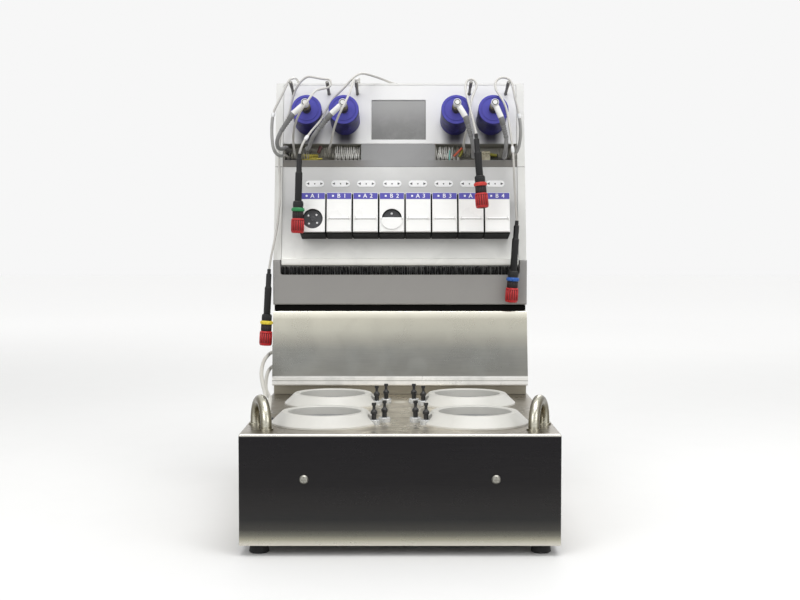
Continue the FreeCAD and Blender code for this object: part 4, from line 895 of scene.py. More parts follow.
def end_growth(w, material, shape):
    """Ends a tree in real, smooth faces with a material."""
    real = w.add("GeometryNodeRealizeInstances", {0: shape})[0]
    smooth = w.add("GeometryNodeSetShadeSmooth", {0: real})[0]
    dressed = w.add("GeometryNodeSetMaterial", {0: smooth, "Material": material})[0]
    w.feed(w.tree.nodes.new("NodeGroupOutput").inputs[0], dressed)
    return w.tree


def grow(tree, name, **values):
    """Runs a tree with the given inputs and returns its result as a plain mesh."""
    holder = add_object(name, bpy.data.meshes.new(name + "_seed"))
    modifier = holder.modifiers.new("growth", "NODES")
    modifier.node_group = tree
    sockets = {item.name: item.identifier for item in tree.interface.items_tree
               if item.in_out == "INPUT"}
    for key, value in values.items():
        modifier[sockets[key.replace("_", " ")]] = value
    graph = bpy.context.evaluated_depsgraph_get()
    mesh = bpy.data.meshes.new_from_object(holder.evaluated_get(graph), depsgraph=graph)
    seed = holder.data
    bpy.data.objects.remove(holder)
    bpy.data.meshes.remove(seed)
    mesh.name = name
    return mesh


# %% Growth: round ribs about an axis
w, ends = new_growth("ribs_round_axis", Count="Int", Circle="Float", Rib_Radius="Float",
                     Rib_Length="Float")
places = w.add("GeometryNodeMeshCircle",
               {"Vertices": ends["Count"], "Radius": ends["Circle"]})[0]
rib = w.add("GeometryNodeMeshCylinder", {"Vertices": 8, "Radius": ends["Rib Radius"],
                                         "Depth": ends["Rib Length"]})[0]
ribs_round_axis = end_growth(w, ends["Material"], w.add(
    "GeometryNodeInstanceOnPoints", {"Points": places, "Instance": rib})[0])


def ribs(name, place, middle, count, circle, radius, length, material):
    """A ring of ribs in millimetres, whose middle lies that far along the axis of place."""
    mesh = grow(ribs_round_axis, name, Count=count, Circle=circle, Rib_Radius=radius,
                Rib_Length=length, Material=material)
    mesh.transform(place @ Matrix.Translation((0, 0, middle)))
    return mesh


# %% [markdown]
# ## Sensor connectors
#
# Each sensor cable ends in a long black connector with a coloured ring that says which well it
# belongs to, and a red ribbed cap. The body is one turned profile, whose grip takes up the
# difference in length between the four. The ribs are grown round the cap and the collar, since a
# ribbed ring is a rule and not a drawing.

# %% Connector finishes and profiles
connector_black = moulded("connector_black", (17, 17, 18), 0.5, 0.5, 0.25, 0.5, 1.6,
                          gloss=0.35)
cap_red = moulded("cap_red", (196, 32, 36), 0.36, 0.8, 0.1, 0.5, 0.6)
band_dark = moulded("band_dark", (44, 18, 19), 0.5, 0.5)
cap_groove = moulded("cap_groove", (104, 14, 18), 0.45, 0.8, 0.1)
# ring colour, and the drawing points where the connector starts and ends
CONNECTORS = {
    "green": ((34, 138, 78), (-108, 262, 367), (-110.5, 262, 281.5)),
    "red": ((208, 52, 42), (81.3, 257, 387.7), (88, 251.5, 308.3)),
    "blue": ((34, 92, 176), (127.5, 280, 295.5), (122, 284, 206)),
    "yellow": ((232, 208, 60), (-144, 290, 242.5), (-148.5, 290, 158)),
}
DRAWN_LENGTH = 85
GRIP_TOP = 20.6
BODY_PROFILE = (
    (0, 0.1), (1.8, 0.1), (2, 0.6), (2, 5), (2.7, 5.5), (2.95, 6.4), (2.95, 18.8), (3.3, 20),
    (3.85, 20.6), (3.85, 50), (3.5, 50.6), (0, 50.7),
)
CAP_PROFILE = (
    (0, 50.2), (4.4, 50.2), (5.3, 51), (5.5, 51.8), (5.5, 57.4), (6.2, 57.8, 1),
    (6.75, 58.3, 1), (6.75, 61, 1), (6.2, 61.5, 1), (5.6, 61.8), (5.6, 68.9), (6.6, 69.4, 2),
    (7, 70, 2), (7, 70.9, 2), (6.4, 71.3, 3), (6.4, 82.3, 3), (7, 82.7, 2), (6.7, 83.9, 2),
    (6.1, 84.7, 2), (5.5, 84.9, 2), (4.5, 84.9, 2), (4.2, 84.4), (4, 79), (0, 78.8),
)

# %% Build the four connectors
connectors = {}
for ring_name, (colour, top, bottom) in CONNECTORS.items():
    top, bottom = in_row(*top), in_row(*bottom)
    place = along_axis(top, bottom)
    longer = (bottom - top).length / MM - DRAWN_LENGTH
    low_place = place @ Matrix.Translation((0, 0, longer))
    body_profile = [(radius, along + (longer if along > GRIP_TOP else 0))
                    for radius, along in BODY_PROFILE]
    body = turned_mesh(f"connector_{ring_name}", body_profile, place, 40, connector_black)
    ring = moulded(f"ring_{ring_name}", colour, 0.4, 0.8, 0.1, 0.4, 0.7)
    cap = merge(f"cap_{ring_name}", [
        turned_mesh("cap", CAP_PROFILE, low_place, 40, connector_black, ring, cap_red,
                    cap_groove),
        ribs("grip", low_place, 54.1, 24, 5.35, 0.28, 4.0, connector_black),
        ribs("ring_grip", low_place, 59.6, 12, 6.6, 0.5, 2.4, ring),
        ribs("band_grip", low_place, 65.3, 20, 5.55, 0.42, 6.6, band_dark),
        ribs("cap_grip", low_place, 76.8, 16, 6.4, 0.68, 11.2, cap_red),
    ])
    connectors[ring_name] = add_piece(f"connector_{ring_name}", body)
    with_cable[f"sensor_cable_{ring_name}"].append(connectors[ring_name])
    add_piece(f"cap_{ring_name}", cap)
    print(body.name, len(body.polygons) + len(cap.polygons), "faces")

# %% [markdown]
# The yellow connector has a small flag of tape on its ring: a thin leaf that stands out and is a
# little bent.

# %% Yellow flag
FLAG_DOWN, FLAG_START, FLAG_REACH, FLAG_CURL = 59.2, 6.4, 3.6, 0.8
flag = bmesh.new()
place = along_axis(*[in_row(*end) for end in CONNECTORS["yellow"][1:]])
place = place @ Matrix.Translation((0, 0, FLAG_DOWN))
rows = []
for i in range(7):
    share = i / 6
    rows.append([
        flag.verts.new(place @ Vector((
            -(FLAG_START + FLAG_REACH * share), y, FLAG_CURL * share * share + z)))
        for y, z in ((-0.175, -1.7), (0.175, -1.7), (0.175, 1.7), (-0.175, 1.7))
    ])
skin_rings(flag, rows, [0] * len(rows))
for row in (rows[0], rows[-1]):
    flag.faces.new(row)
add_piece("yellow_flag", finish_mesh("yellow_flag", flag, ring))

# %% [markdown]
# ## Drive plugs
#
# A knurled nut holds each drive's plug. From it a glossy white angled head turns down, and a grey
# tapered boot with flexing rings keeps the cable from kinking. The knurl is a ring of fine ribs.

# %% Drive plug finishes and profiles
plug_white = moulded("plug_white", (236, 236, 234), 0.16, 1.5, 0.04, 0.3, 0.86, 0.05)
boot_grey = moulded("boot_grey", (122, 122, 122), 0.5, 0.6, 0.2, 0.4, 0.8)
nut_metal = brushed("nut_metal", (136, 130, 108), (34, 32, 28), 0.34, (40.0, 40.0, 40.0),
                    30.0, 0.3, 0.6)
DRIVE_UP = 157.4
ARM_OUT = 63.0
ARM_LENGTH = 18.0
DROOP = math.radians(20)
# how far the arm and the boot of each drive turn from straight down, in degrees
DRIVE_TURNS = ((-47, -38), (-46, -43), (30, 17), (22, 16))
NUT_PROFILE = (
    (0, 41.9), (4.4, 41.9), (4.9, 42.4), (4.9, 43.6), (4.5, 44), (4.8, 44.4), (4.8, 51.4),
    (4.5, 51.8), (4.9, 52.2), (4.9, 54.4), (4.4, 55), (3.5, 55.1), (3.5, 59.4), (0, 59.4),
)
HEAD_PROFILE = (
    (0, 58.6), (3.2, 58.6), (4, 59.2), (4.2, 60.2), (4.2, 66.2), (3.9, 67), (3.3, 67.4),
    (3.2, 67.5, 1), (2.5, 67.5, 1), (2.4, 67.3), (0, 67.3),
)
ARM_PROFILE = ((0, 0), (3, 0), (3, 4), (3.2, 4.8), (3.2, 16.4), (2.9, 17.4), (0, 17.6))


def boot_profile(length=22.0, start=3.15, end=2.5, rings=5):
    """A tapering boot with shallow grooves between its flexing rings."""
    profile = [(0, -2.6), (1.9, -2.2), (2.9, -1.0), (start, 0)]
    first, last = 7.0, length - 2.0
    for i in range(rings):
        at = first + i * (last - first) / rings
        wide = start + (end - start) * at / length
        profile += [(wide, at), (wide - 0.45, at + 0.4), (wide - 0.5, at + 1.1),
                    (wide - 0.1, at + 1.5)]
    return profile + [(end, length - 0.6), (end - 0.2, length), (0, length)]


# %% Build the four drive plugs
def toward(angle, rise=0.0):
    """A direction in panel axes, turned from straight down towards +X."""
    turn = math.radians(angle)
    return Vector((math.sin(turn) * math.cos(rise), math.sin(rise),
                   -math.cos(turn) * math.cos(rise)))


drive_plugs = []
for number, (x, (arm_turn, boot_turn)) in enumerate(zip(DRIVE_X, DRIVE_TURNS), start=1):
    outwards = out_of_slope(x, DRIVE_UP)
    hub = Vector((x, -ARM_OUT, DRIVE_UP))
    elbow = hub + ARM_LENGTH * toward(arm_turn)
    arm_place = along_axis(SLOPE @ hub, SLOPE @ elbow)
    boot_place = along_axis(SLOPE @ elbow, SLOPE @ (elbow + toward(boot_turn, DROOP)))
    name = f"drive_plug_{number}"
    drive_plugs.append(add_piece(name, merge(name, [
        turned_mesh("nut", NUT_PROFILE, outwards, 36, nut_metal),
        turned_mesh("head", HEAD_PROFILE, outwards, 36, plug_white, connector_black, sharp=40),
        turned_mesh("arm", ARM_PROFILE, arm_place, 32, plug_white, sharp=40),
        turned_mesh("boot", boot_profile(), boot_place, 32, boot_grey, sharp=50),
        ribs("knurl", outwards, 47.9, 30, 4.75, 0.34, 6.6, nut_metal),
    ])))
    with_cable[f"drive_cable_{number}"].append(drive_plugs[-1])
    print(name, "at", [round(value, 3) for value in SLOPE @ hub])
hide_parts("drive_plugs")

# %% [markdown]
# ## The brush
#
# A strip of black bristles closes the slot under the pumps, where tubes pass through. A solid
# strip would look like foam. A tree scatters three-sided hairs along the rail, each with its own
# small tilt and length from a fixed seed.

# %% Growth: bristles
w, ends = new_growth("bristle_strip", Count="Int", First="Vector", Step="Vector",
                     Length="Float", Thickness="Float", Tilt="Float", Seed="Int")
row = w.add("GeometryNodeMeshLine", {"Count": ends["Count"], "Start Location": ends["First"],
                                     "Offset": ends["Step"]})[0]
hair = w.add("GeometryNodeMeshCone", {
    "Vertices": 3, "Radius Top": w.times(ends["Thickness"], 0.6),
    "Radius Bottom": ends["Thickness"], "Depth": ends["Length"]})[0]
back = w.times(ends["Tilt"], -1.0)
least = w.add("ShaderNodeCombineXYZ", {0: back, 1: back})[0]
most = w.add("ShaderNodeCombineXYZ", {0: ends["Tilt"], 1: ends["Tilt"], 2: 3.0})[0]
tilt = w.add("FunctionNodeRandomValue", {0: least, 1: most, "Seed": ends["Seed"]},
             data_type="FLOAT_VECTOR")[0]
size = w.add("FunctionNodeRandomValue", {2: 0.9, 3: 1.0, "Seed": ends["Seed"]})[1]
bristle_strip = end_growth(w, ends["Material"], w.add(
    "GeometryNodeInstanceOnPoints",
    {"Points": row, "Instance": hair, "Rotation": tilt, "Scale": size})[0])

# %% Brush strip
bristle_black = moulded("bristle_black", (17, 17, 17), 0.5, 0.5, 0.2, 0.6, 2.2, gloss=0.25)
BRUSH_HALF = 131.0
BRUSH_FOOT, BRUSH_TOP = 229.5, 245.4
brush = [
    grow(bristle_strip, f"bristles_{layer}", Count=420,
         First=in_row(-BRUSH_HALF + 0.2 * layer, y, BRUSH_FOOT), Step=(0.624 * MM, 0, 0),
         Length=(BRUSH_TOP - BRUSH_FOOT) * MM, Thickness=0.3 * MM, Tilt=0.05, Seed=layer + 3,
         Material=bristle_black)
    for layer, y in enumerate((294.9, 295.7, 296.6))
]


def strip(name, low, high, rounding, material):
    """A long strip with rounded edges between two drawing points."""
    low, high = in_row(*low), in_row(*high)
    shape = bmesh.new()
    bmesh.ops.create_cube(shape, size=1, matrix=(
        Matrix.Translation((low + high) / 2) @ Matrix.Diagonal((*(high - low), 1))))
    bmesh.ops.bevel(shape, geom=shape.edges[:], offset=rounding * MM, segments=3,
                    affect="EDGES")
    return finish_mesh(name, shape, material)


brush.append(strip("brush_rail", (-131.5, 293.9, 220.5), (131.5, 299.7, 229.6), 1.2,
                   bristle_black))
brush_strip = add_piece("brush_strip", merge("brush_strip", brush))
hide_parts("slot_brush")
print("brush", len(brush_strip.data.polygons), "faces")

# %% [markdown]
# ## The gap shadow and the plinth strip
#
# A near-black strip fills the groove between the splash plate and the fascia: a dark sheet put
# where there is only shade, as painted shadow. Below the nose of the splash plate, a strip of the
# base's own steel covers the foot of the tower. Both are long strips with rounded edges.

# %% Gap shadow and plinth strip
# painted shadow: a near-black strip in the groove, where there is only shade
gap_shadow_black = moulded("gap_shadow_black", (7, 6, 5), 0.85, 0.8, 0.2, 0.1, 0.82, 0.0, 0.1)
add_piece("splash_gap_shadow", strip("splash_gap_shadow", (-138.5, 294.5, 196.3), (138.5, 301.9, 202.7),
                               0.8, gap_shadow_black))
plinth_steel = brushed("plinth_steel", (150, 145, 132), (110, 105, 94), 0.4,
                       (1.0, 60.0, 60.0), 30.0, 0.1)
add_piece("plinth_strip", strip("plinth_strip", (-139, 288.8, 104.2), (139, 289.8, 114.4),
                                0.4, plinth_steel))

# %% [markdown]
# ## Pump labels and keys
#
# A blue strip with a letter and a number names each pump, and above it sits a white rocker key
# with an arrow at each end. Printed film is almost flat, but a plate a few tenths of a millimetre
# proud catches light as the real film edge does and stays sharp in any view.

# %% Rounded plates and letters on the slope
PUMP_X = [5.5 + (i - 3.5) * 28.7 for i in range(8)]
PUMP_NAMES = ("A1", "B1", "A2", "B2", "A3", "B3", "A4", "B4")
RIM = 0.12


def prism(shape, layers):
    """A solid from outlines of points, lowest first, with its two ends closed."""
    rings = [[shape.verts.new(point) for point in layer] for layer in layers]
    skin_rings(shape, rings, [0] * len(rings))
    shape.faces.new(rings[-1])
    shape.faces.new(rings[0][::-1])


def plate(shape, centre, size, out, corner, thickness=0.3):
    """A rounded plate on the slope: centre and size are (across, up) in millimetres."""
    outline = []
    for sx, sy, first in ((1, 1, 0), (-1, 1, 90), (-1, -1, 180), (1, -1, 270)):
        for i in range(7):
            angle = math.radians(first + 15 * i)
            outline.append((
                centre[0] + sx * (size[0] / 2 - corner) + corner * math.cos(angle),
                centre[1] + sy * (size[1] / 2 - corner) + corner * math.sin(angle),
            ))
    prism(shape, [
        [on_slope(x - shrink * (1 if x > centre[0] else -1),
                  y - shrink * (1 if y > centre[1] else -1), level) for x, y in outline]
        for level, shrink in ((out, 0), (out + thickness - RIM, 0), (out + thickness, RIM))
    ])


def letters(text, centre, tall, out):
    """Printed letters on the slope, as a mesh."""
    font = bpy.data.curves.new("letters", "FONT")
    font.body = text
    font.size = tall * 1.35
    font.align_x = "CENTER"
    font.align_y = "CENTER"
    font.extrude = 0.06
    font.offset = 0.1
    holder = add_object("letters", font)
    mesh = bpy.data.meshes.new_from_object(holder)
    bpy.data.objects.remove(holder)
    mesh.transform(out_of_slope(*centre, out))
    return mesh


# %% Label strips
label_blue = moulded("label_blue", (86, 82, 172), 0.35, 1.0, 0.05, 0.3, 0.86)
print_white = moulded("print_white", (240, 240, 242), 0.4, 0.8, 0.05, 0.3, 0.9)
FACE_OUT = 29.0
LETTER_TALL = 4.7
strips, marks, printed = bmesh.new(), bmesh.new(), []
for x, name in zip(PUMP_X, PUMP_NAMES):
    plate(strips, (x, 63.5), (26.2, 6.9), FACE_OUT - 0.1, 0.4)
    plate(marks, (x - 6.7, 63.6), (2.2, 2.2), FACE_OUT + 0.15, 0.4, thickness=0.12)
    for letter, shift in zip(name, (-0.4, 6.2)):
        mesh = letters(letter, (x + shift, 63.5), LETTER_TALL, FACE_OUT + 0.25)
        mesh.materials.append(print_white)
        printed.append(mesh)
printed.insert(0, finish_mesh("marks", marks, print_white))
add_piece("label_strips", finish_mesh("label_strips", strips, label_blue))
add_piece("label_letters", merge("label_letters", printed))
print("labels", PUMP_NAMES)

# %% [markdown]
# ## Dark strips between the pumps
#
# The gaps between the pumps look solid black. A near-black strip stands on edge in each one as
# painted shadow, short of the white faces and of both pumps beside it.

# %% Gap strips
# painted shadow: near-black strips in the gaps between the pumps
fillers = bmesh.new()
for x in PUMP_X[:-1]:
    plate(fillers, (x + 14.35, 44.6), (1.2, 44.0), 0.2, 0.2, thickness=25.0)
add_piece("pump_gap_shadows", finish_mesh("pump_gap_shadows", fillers, gap_shadow_black))

# %% Rocker keys
key_white = moulded("key_white", (255, 255, 255), 0.32, 1.0, 0.05, 0.15, 0.92)
mark_grey = moulded("mark_grey", (70, 70, 72), 0.4, 0.6, 0.05)
KEY_UP = 84.7
MARK_OUT, MARK_THICK = 0.4, 0.12
keys, arrows = bmesh.new(), bmesh.new()
for x in PUMP_X:
    plate(keys, (x, KEY_UP), (20.6, 7.2), -0.1, 3.5, thickness=0.55)
    for side in (-1, 1):
        corners = [(1.8, 0), (-1.26, 1.5), (-1.26, -1.5)][::side]
        prism(arrows, [[on_slope(x + side * (7.4 + a), KEY_UP + b, out) for a, b in corners]
                       for out in (MARK_OUT, MARK_OUT + MARK_THICK)])
    plate(arrows, (x, KEY_UP - 0.1), (1.6, 1.8), MARK_OUT, 0.7, thickness=MARK_THICK)
add_piece("pump_keys", finish_mesh("pump_keys", keys, key_white))
add_piece("key_marks", finish_mesh("key_marks", arrows, mark_grey))

# %% [markdown]
# ## Lid hinges
#
# Each lid folds about a thin pin across the pump's face. Its edge is rolled round the pin, so a
# white barrel closes the joint and turns with the lid.

# %% Lid hinges
HINGE_UP, HINGE_OUT = 38.4, 30.6
PLAIN_WHITE = bpy.data.materials["lid_white"]  # the CAD model's own
HINGE_PROFILE = ((0, -10.2), (0.7, -10.2), (0.85, -10), (0.85, 10), (0.7, 10.2), (0, 10.2))
for number, x in enumerate(PUMP_X[1:], start=2):
    across = SLOPE @ Matrix.Translation((x, -HINGE_OUT, HINGE_UP)) @ Matrix.Rotation(
        QUARTER, 4, "Y")
    hinge = turned_mesh("hinge", HINGE_PROFILE, across, 24, PLAIN_WHITE)
    add_piece(f"lid_hinge_{number}", hinge, body=f"lid_{number}")
print("hinges on", len(PUMP_X) - 1, "lids")

# %% [markdown]
# ## Roller pins
#
# Each pump squeezes its tube with four rollers. Their steel pins show as bright dots round a dark
# hub and turn with the rotor, so each set rides on its own rotor.

# %% Roller pins
ROTOR_ANGLES = (50, 20, 65, 92, 10, 35, 80, 55)
PIN_CIRCLE = 6.3
AXLE_UP = 38.4
PIN_PROFILE = ((0, 24.6), (1.3, 24.6), (1.3, 25.3), (1.05, 25.6), (0.5, 25.62), (0.35, 25.4),
               (0, 25.35))
HUB_PROFILE = ((0, 25.4, 1), (3, 25.4, 1), (3.2, 25.6, 1), (3.1, 25.9, 1), (1.5, 26.2, 1),
               (1.2, 25.9, 1), (0, 25.8, 1))
pin_steel = brushed("pin_steel", (236, 236, 236), (120, 120, 122), 0.2, (30.0, 30.0, 30.0),
                    20.0, 0.05, 0.3, 0.0)
for number, (x, first) in enumerate(zip(PUMP_X, ROTOR_ANGLES), start=1):
    shape = bmesh.new()
    face = out_of_slope(x, AXLE_UP)
    for i in range(4):
        angle = math.radians(first + 90 * i)
        shift = (PIN_CIRCLE * math.cos(angle), PIN_CIRCLE * math.sin(angle), 0)
        spin(shape, PIN_PROFILE, face @ Matrix.Translation(shift), 16)
    spin(shape, HUB_PROFILE, face, 24)
    pins = finish_mesh("pins", shape, pin_steel, finishes["rotor_grey"])
    add_piece(f"roller_pins_{number}", pins, body=f"rotor_{number}")
print("pins on", len(PUMP_X), "rotors")

# %% [markdown]
# ## Wound pegs
#
# The pegs that carry the cables have a wire wound round their tips so the cables don't slip off.
# A winding is a spiral swept by a thin circle, which Geometry Nodes has as two nodes.

# %% Growth: winding
w, ends = new_growth("winding", Turns="Float", Radius="Float", Length="Float", Wire="Float")
spiral = w.add("GeometryNodeCurveSpiral", {
    "Resolution": 14, "Rotations": ends["Turns"], "Start Radius": ends["Radius"],
    "End Radius": ends["Radius"], "Height": ends["Length"]})[0]
wire = w.add("GeometryNodeCurvePrimitiveCircle", {"Resolution": 6, "Radius": ends["Wire"]})[0]
winding = end_growth(w, ends["Material"], w.add(
    "GeometryNodeCurveToMesh",
    {"Curve": spiral, "Profile Curve": wire, "Fill Caps": True})[0])

PEG_X = (-120, -80, -48, 78, 119)
PEG_UP, WINDING_OUT = 189, 24
wound_wire = brushed("wound_wire", (150, 148, 142), (44, 42, 40), 0.35, (30.0, 30.0, 30.0),
                     30.0, 0.1, 0.5)
windings = []
for x in PEG_X:
    mesh = grow(winding, "peg_winding", Turns=13.0, Radius=1.62, Length=15.0, Wire=0.3,
                Material=wound_wire)
    mesh.transform(out_of_slope(x, PEG_UP, WINDING_OUT))
    windings.append(mesh)
peg_windings = add_piece("peg_windings", merge("peg_windings", windings))
print("windings", len(peg_windings.data.polygons), "faces")

# %% [markdown]
# ## Sleeves and beads on the cables
#
# Two thin cables wear a darker sleeve near the shelf, and small clear beads mark where a sleeve
# ends or a cable is clipped. Each is a tube round a stretch of the cable's own line, whose points
# are read back from the spline.

# %% Sleeves and beads
def stretch_of(cable, start, end):
    """The points of a cable's line between two distances from its start, in mm."""
    line = centre_line(cable)
    kept = []
    travelled = 0.0
    for before, point in zip([line[0], *line], line):
        travelled += (point - before).length
        if start * MM <= travelled <= end * MM:
            kept.append(point)
    return kept


def sleeve(name, cable, start, end, radius, material):
    """A sleeve along a cable, with rounded ends."""
    points = stretch_of(cables[cable], start, end)
    layers = []
    for i, point in enumerate(points):
        wide = radius if 0 < i < len(points) - 1 else radius - 0.35
        ahead = points[min(i + 1, len(points) - 1)] - points[max(i - 1, 0)]
        turn = ahead.normalized().to_track_quat("Z", "Y").to_matrix()
        layers.append([point + turn @ spot for spot in circle(wide * MM, 0, 20)])
    shape = bmesh.new()
    prism(shape, layers)
    mesh = finish_mesh(name, shape, material, sharp=50)
    with_cable[cable].append(add_piece(name, mesh))


sleeve_grey = moulded("sleeve_grey", (168, 168, 166), 0.42, 0.6, 0.1, 0.6, 0.72)
bead_clear = moulded("bead_clear", (238, 239, 240), 0.2, 0.8, 0.05, 0.2, 0.9)
# name, cable, start and end in mm along it, radius, finish
for values in (
    ("lead_sleeve", "lead_left", 24, 78, 1.75, sleeve_grey),
    ("blue_sleeve", "sensor_cable_blue", 20, 62, 1.75, sleeve_grey),
    ("lead_bead", "lead_left", 76, 83, 2.1, bead_clear),
    ("blue_bead", "sensor_cable_blue", 60, 67, 2.1, bead_clear),
    ("green_bead", "sensor_cable_green", 205, 212, 2.0, bead_clear),
    ("blue_clip", "sensor_cable_blue", 205, 213, 1.9, bead_clear),
):
    sleeve(*values)

# %% [markdown]
# ## Finishes of the cables
#
# Cable jacket is soft plastic with finger marks.

# %% Cable jackets
thin = moulded("cable_white", (206, 204, 199), 0.42, 0.7, 0.1, 0.6, 0.78)
thick = moulded("cable_grey", (138, 138, 138), 0.46, 0.7, 0.1, 0.5, 0.8)
cream = moulded("cable_cream", (200, 198, 190), 0.45, 0.7, 0.1, 0.5, 0.82)
FAMILIES = {
    "sensor": (thin, "connector", "cable_sensor_grey"),
    "lead": (thin, "object", "cable_sensor_grey"),
    "drive": (thick, "plug", "cable_drive_grey"),
    "side": (cream, "object", "cable_drive_grey"),
}
for name, cable in cables.items():
    family = name.split("_")[0]
    jacket, far_end, slot = FAMILIES[family]
    cable.data.materials.append(jacket)
    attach(cable, "station")
    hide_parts("cord_" + name.replace("sensor_", "").replace("cable_", ""))
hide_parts("sensor_connectors")

# %% [markdown]
# ## The cable shelf
#
# Thin tubes stand packed on the barbs of the shelf, waiting to be joined to a vessel, with looser
# and dustier ones behind. They are many and not quite parallel, so the bristles' tree grows them,
# thicker and fewer. Short coloured ends mark which tube belongs to which gas.

# %% Tubes on the shelf
tube_white = moulded("tube_white", (255, 254, 248), 0.3, 0.8, 0.05, 0.6, 0.7)
tube_dusty = moulded("tube_dusty", (190, 187, 174), 0.5, 0.6, 0.1, 0.8, 0.6)
# first across, count, pitch, out, middle up, length, radius, tilt, seed, finish
TUBE_ROWS = (
    (-72.4, 13, 2.2, 4.6, 117.4, 11.5, 0.85, 0.06, 5, tube_white),
    (-71.6, 12, 2.3, 3.4, 114.6, 6.5, 0.9, 0.16, 33, tube_white),
    (-84.5, 6, 2.1, 5.4, 116.2, 9.5, 0.7, 0.3, 36, tube_dusty),
    (-88.0, 8, 2.3, 8.5, 117.0, 12.0, 0.6, 0.16, 9, tube_dusty),
    (-73.5, 17, 1.75, 10.5, 120.5, 15.5, 0.6, 0.1, 12, tube_dusty),
    (-131.0, 9, 2.1, 9.0, 116.6, 9.0, 0.7, 0.3, 21, tube_dusty),
    (41.2, 9, 2.2, 4.6, 117.4, 11.5, 0.85, 0.08, 8, tube_white),
    (42.0, 8, 2.3, 3.4, 114.6, 6.5, 0.9, 0.16, 39, tube_white),
    (41.0, 13, 1.85, 10.5, 120.5, 15.5, 0.6, 0.12, 15, tube_dusty),
    (65.0, 8, 1.9, 8.5, 118.0, 12.5, 0.65, 0.2, 18, tube_dusty),
    (111.5, 9, 2.0, 9.5, 117.0, 11.0, 0.7, 0.3, 27, tube_dusty),
    (-121.0, 10, 2.0, 6.4, 115.0, 7.5, 0.75, 0.3, 42, tube_dusty),
)
TUBE_COLOURS = {
    "teal": (120, 190, 180), "orange": (206, 96, 66), "olive": (132, 128, 40),
    "maroon": (78, 30, 30), "yellow": (214, 200, 90),
}
# start and end (across, up, out), radius, colour
SHORT_TUBES = (
    ((55.4, 112.5, -3.4), (55.8, 124.0, -3.0), 0.9, "teal"),
    ((60.2, 117.0, -2.4), (69.5, 126.5, -2.2), 1.3, "orange"),
    ((66.4, 116.5, -3.6), (70.4, 124.5, -3.8), 1.5, "olive"),
    ((-91.6, 121.5, -5.0), (-88.9, 129.0, -5.4), 1.9, "maroon"),
    ((-93.0, 114.2, -3.6), (-86.9, 114.5, -3.4), 1.0, "yellow"),
    ((101.0, 119.4, -4.0), (108.5, 118.6, -4.4), 1.7, "olive"),
)
stubs = []
for first, count, pitch, out, middle, length, radius, lean, seed, finish in TUBE_ROWS:
    mesh = grow(bristle_strip, "tube_row", Count=count, First=(first, out, middle),
                Step=(pitch, 0, 0), Length=length, Thickness=radius, Tilt=lean, Seed=seed,
                Material=finish)
    mesh.transform(SLOPE)
    stubs.append(mesh)
tube_finishes = {name: moulded(f"tube_{name}", colour, 0.35, 0.6, 0.1, 0.5)
                 for name, colour in TUBE_COLOURS.items()}
for start, end, radius, name in SHORT_TUBES:
    length = (Vector(end) - Vector(start)).length
    bore = radius * 0.6
    profile = ((0, 0), (radius, 0), (radius, length), (bore, length), (bore, length - 1),
               (0, length - 1))
    place = along_axis(on_slope(*start), on_slope(*end))
    stubs.append(turned_mesh("short_tube", profile, place, 16, tube_finishes[name]))
tube_stubs = add_piece("tube_stubs", merge("tube_stubs", stubs))
print("tube stubs", len(tube_stubs.data.polygons), "faces")

# %% [markdown]
# ## Folds beside the shelf
#
# The tower's side flanges are folded from an upper and a lower part, which meet level with the
# foot of the shelf. That line is a hair's breadth of shadow, so a thin dark strip stands for it.

# %% Flange joints
joint_dark = moulded("joint_dark", (60, 60, 58), 0.7)
joints = bmesh.new()
for side in (-1, 1):
    plate(joints, (side * 135.2, 104.2), (8.2, 0.7), -0.08, 0.3, thickness=0.1)
add_piece("flange_joints", finish_mesh("flange_joints", joints, joint_dark))

# %% [markdown]
# ## Floor and light
#
# A wide pale floor, a white surrounding and soft lamps from above and in front light the machine
# evenly, as in a catalogue. Floor and surrounding look white but give less light than they show,
# so that the lamps still shape the parts.

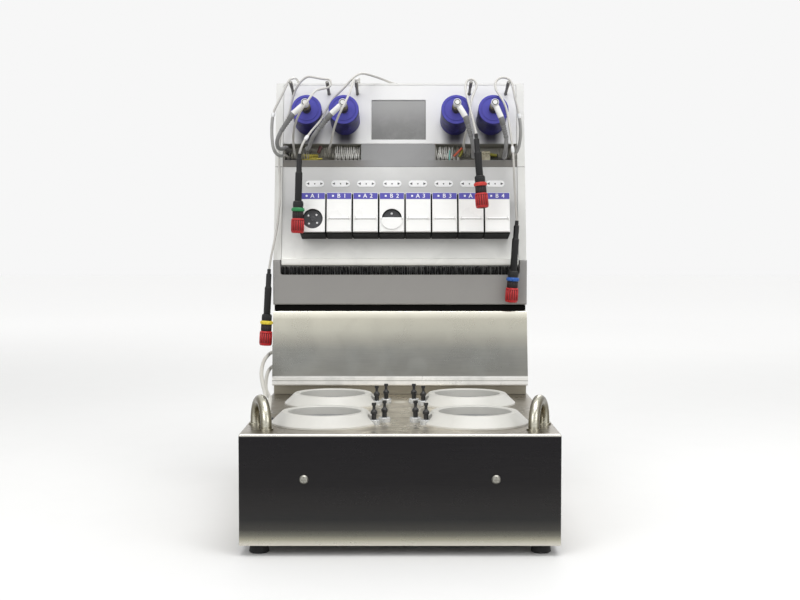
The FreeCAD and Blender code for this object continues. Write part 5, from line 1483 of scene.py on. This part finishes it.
# %% Floor
def seen_directly(w):
    """1 for what the camera sees straight, in a reflection or through glass."""
    rays = w.add("ShaderNodeLightPath")
    shown = w.greater(rays["Is Camera Ray"], rays["Is Glossy Ray"])
    return w.greater(shown, rays["Is Transmission Ray"])


w = new_material("floor_white", 0.7)
skin = w.use(moulded_grain, Grain_Size=3, Depth=0.03)
marks = handled_patches(w, 0.1, 60)
seen = seen_directly(w)
pale = w.blend(marks, (236, 236, 235), (228, 228, 227))
away = w.vector("LENGTH", w.point())[1]
w.surface(Base_Color=w.blend(seen, (150, 150, 148), pale), Normal=skin["Normal"],
          Emission_Strength=w.times(seen, w.spread(away, 1, 3.4, 0, 0.345)))

REACH = 9
floor_mesh = bpy.data.meshes.new("floor")
floor_mesh.from_pydata([(-REACH, -REACH, 0), (REACH, -REACH, 0), (REACH, REACH, 0),
                        (-REACH, REACH, 0)], [], [(0, 1, 2, 3)])
floor_mesh.materials.append(w.material)
add_object("floor", floor_mesh)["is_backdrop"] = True

# %% World and lamps
AMBIENT, SHOWN_WHITE = 0.62, 0.93
world = bpy.data.worlds.new("studio")
scene.world = world
world.use_nodes = True
w = Wiring(world.node_tree)
sky = world.node_tree.nodes["Background"].inputs
w.feed(sky["Strength"], w.spread(seen_directly(w), 0, 1, AMBIENT, SHOWN_WHITE))
w.feed(sky["Color"], (1, 1, 1, 1))

# name, place and aim in metres, size, power
for name, place, aim, size, power in (
    ("overhead", (0.2, -0.5, 2), (0, 0, 0.2), 1.6, 22),
    ("front_left", (-1.4, -1.9, 1.3), (0, 0, 0.25), 1.2, 14),
    ("front_right", (1.6, -1.7, 1), (0, 0, 0.25), 1.2, 9),
    ("rear", (0.3, 2, 1.6), (0, 0, 0.25), 1.4, 9),
):
    light = bpy.data.lights.new(name, "AREA")
    light.size = size
    light.energy = power
    lamp = add_object(name, light)
    lamp.location = place
    lamp.rotation_euler = (Vector(aim) - Vector(place)).to_track_quat("-Z", "Y").to_euler()

# %% Measure and finish
shown_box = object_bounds()
for corner, before, after in zip(("low", "high"), cad_box, shown_box):
    print(corner, "corner, mm outside the CAD box",
          [round(1000 * (a - b), 2) for a, b in zip(after, before)])
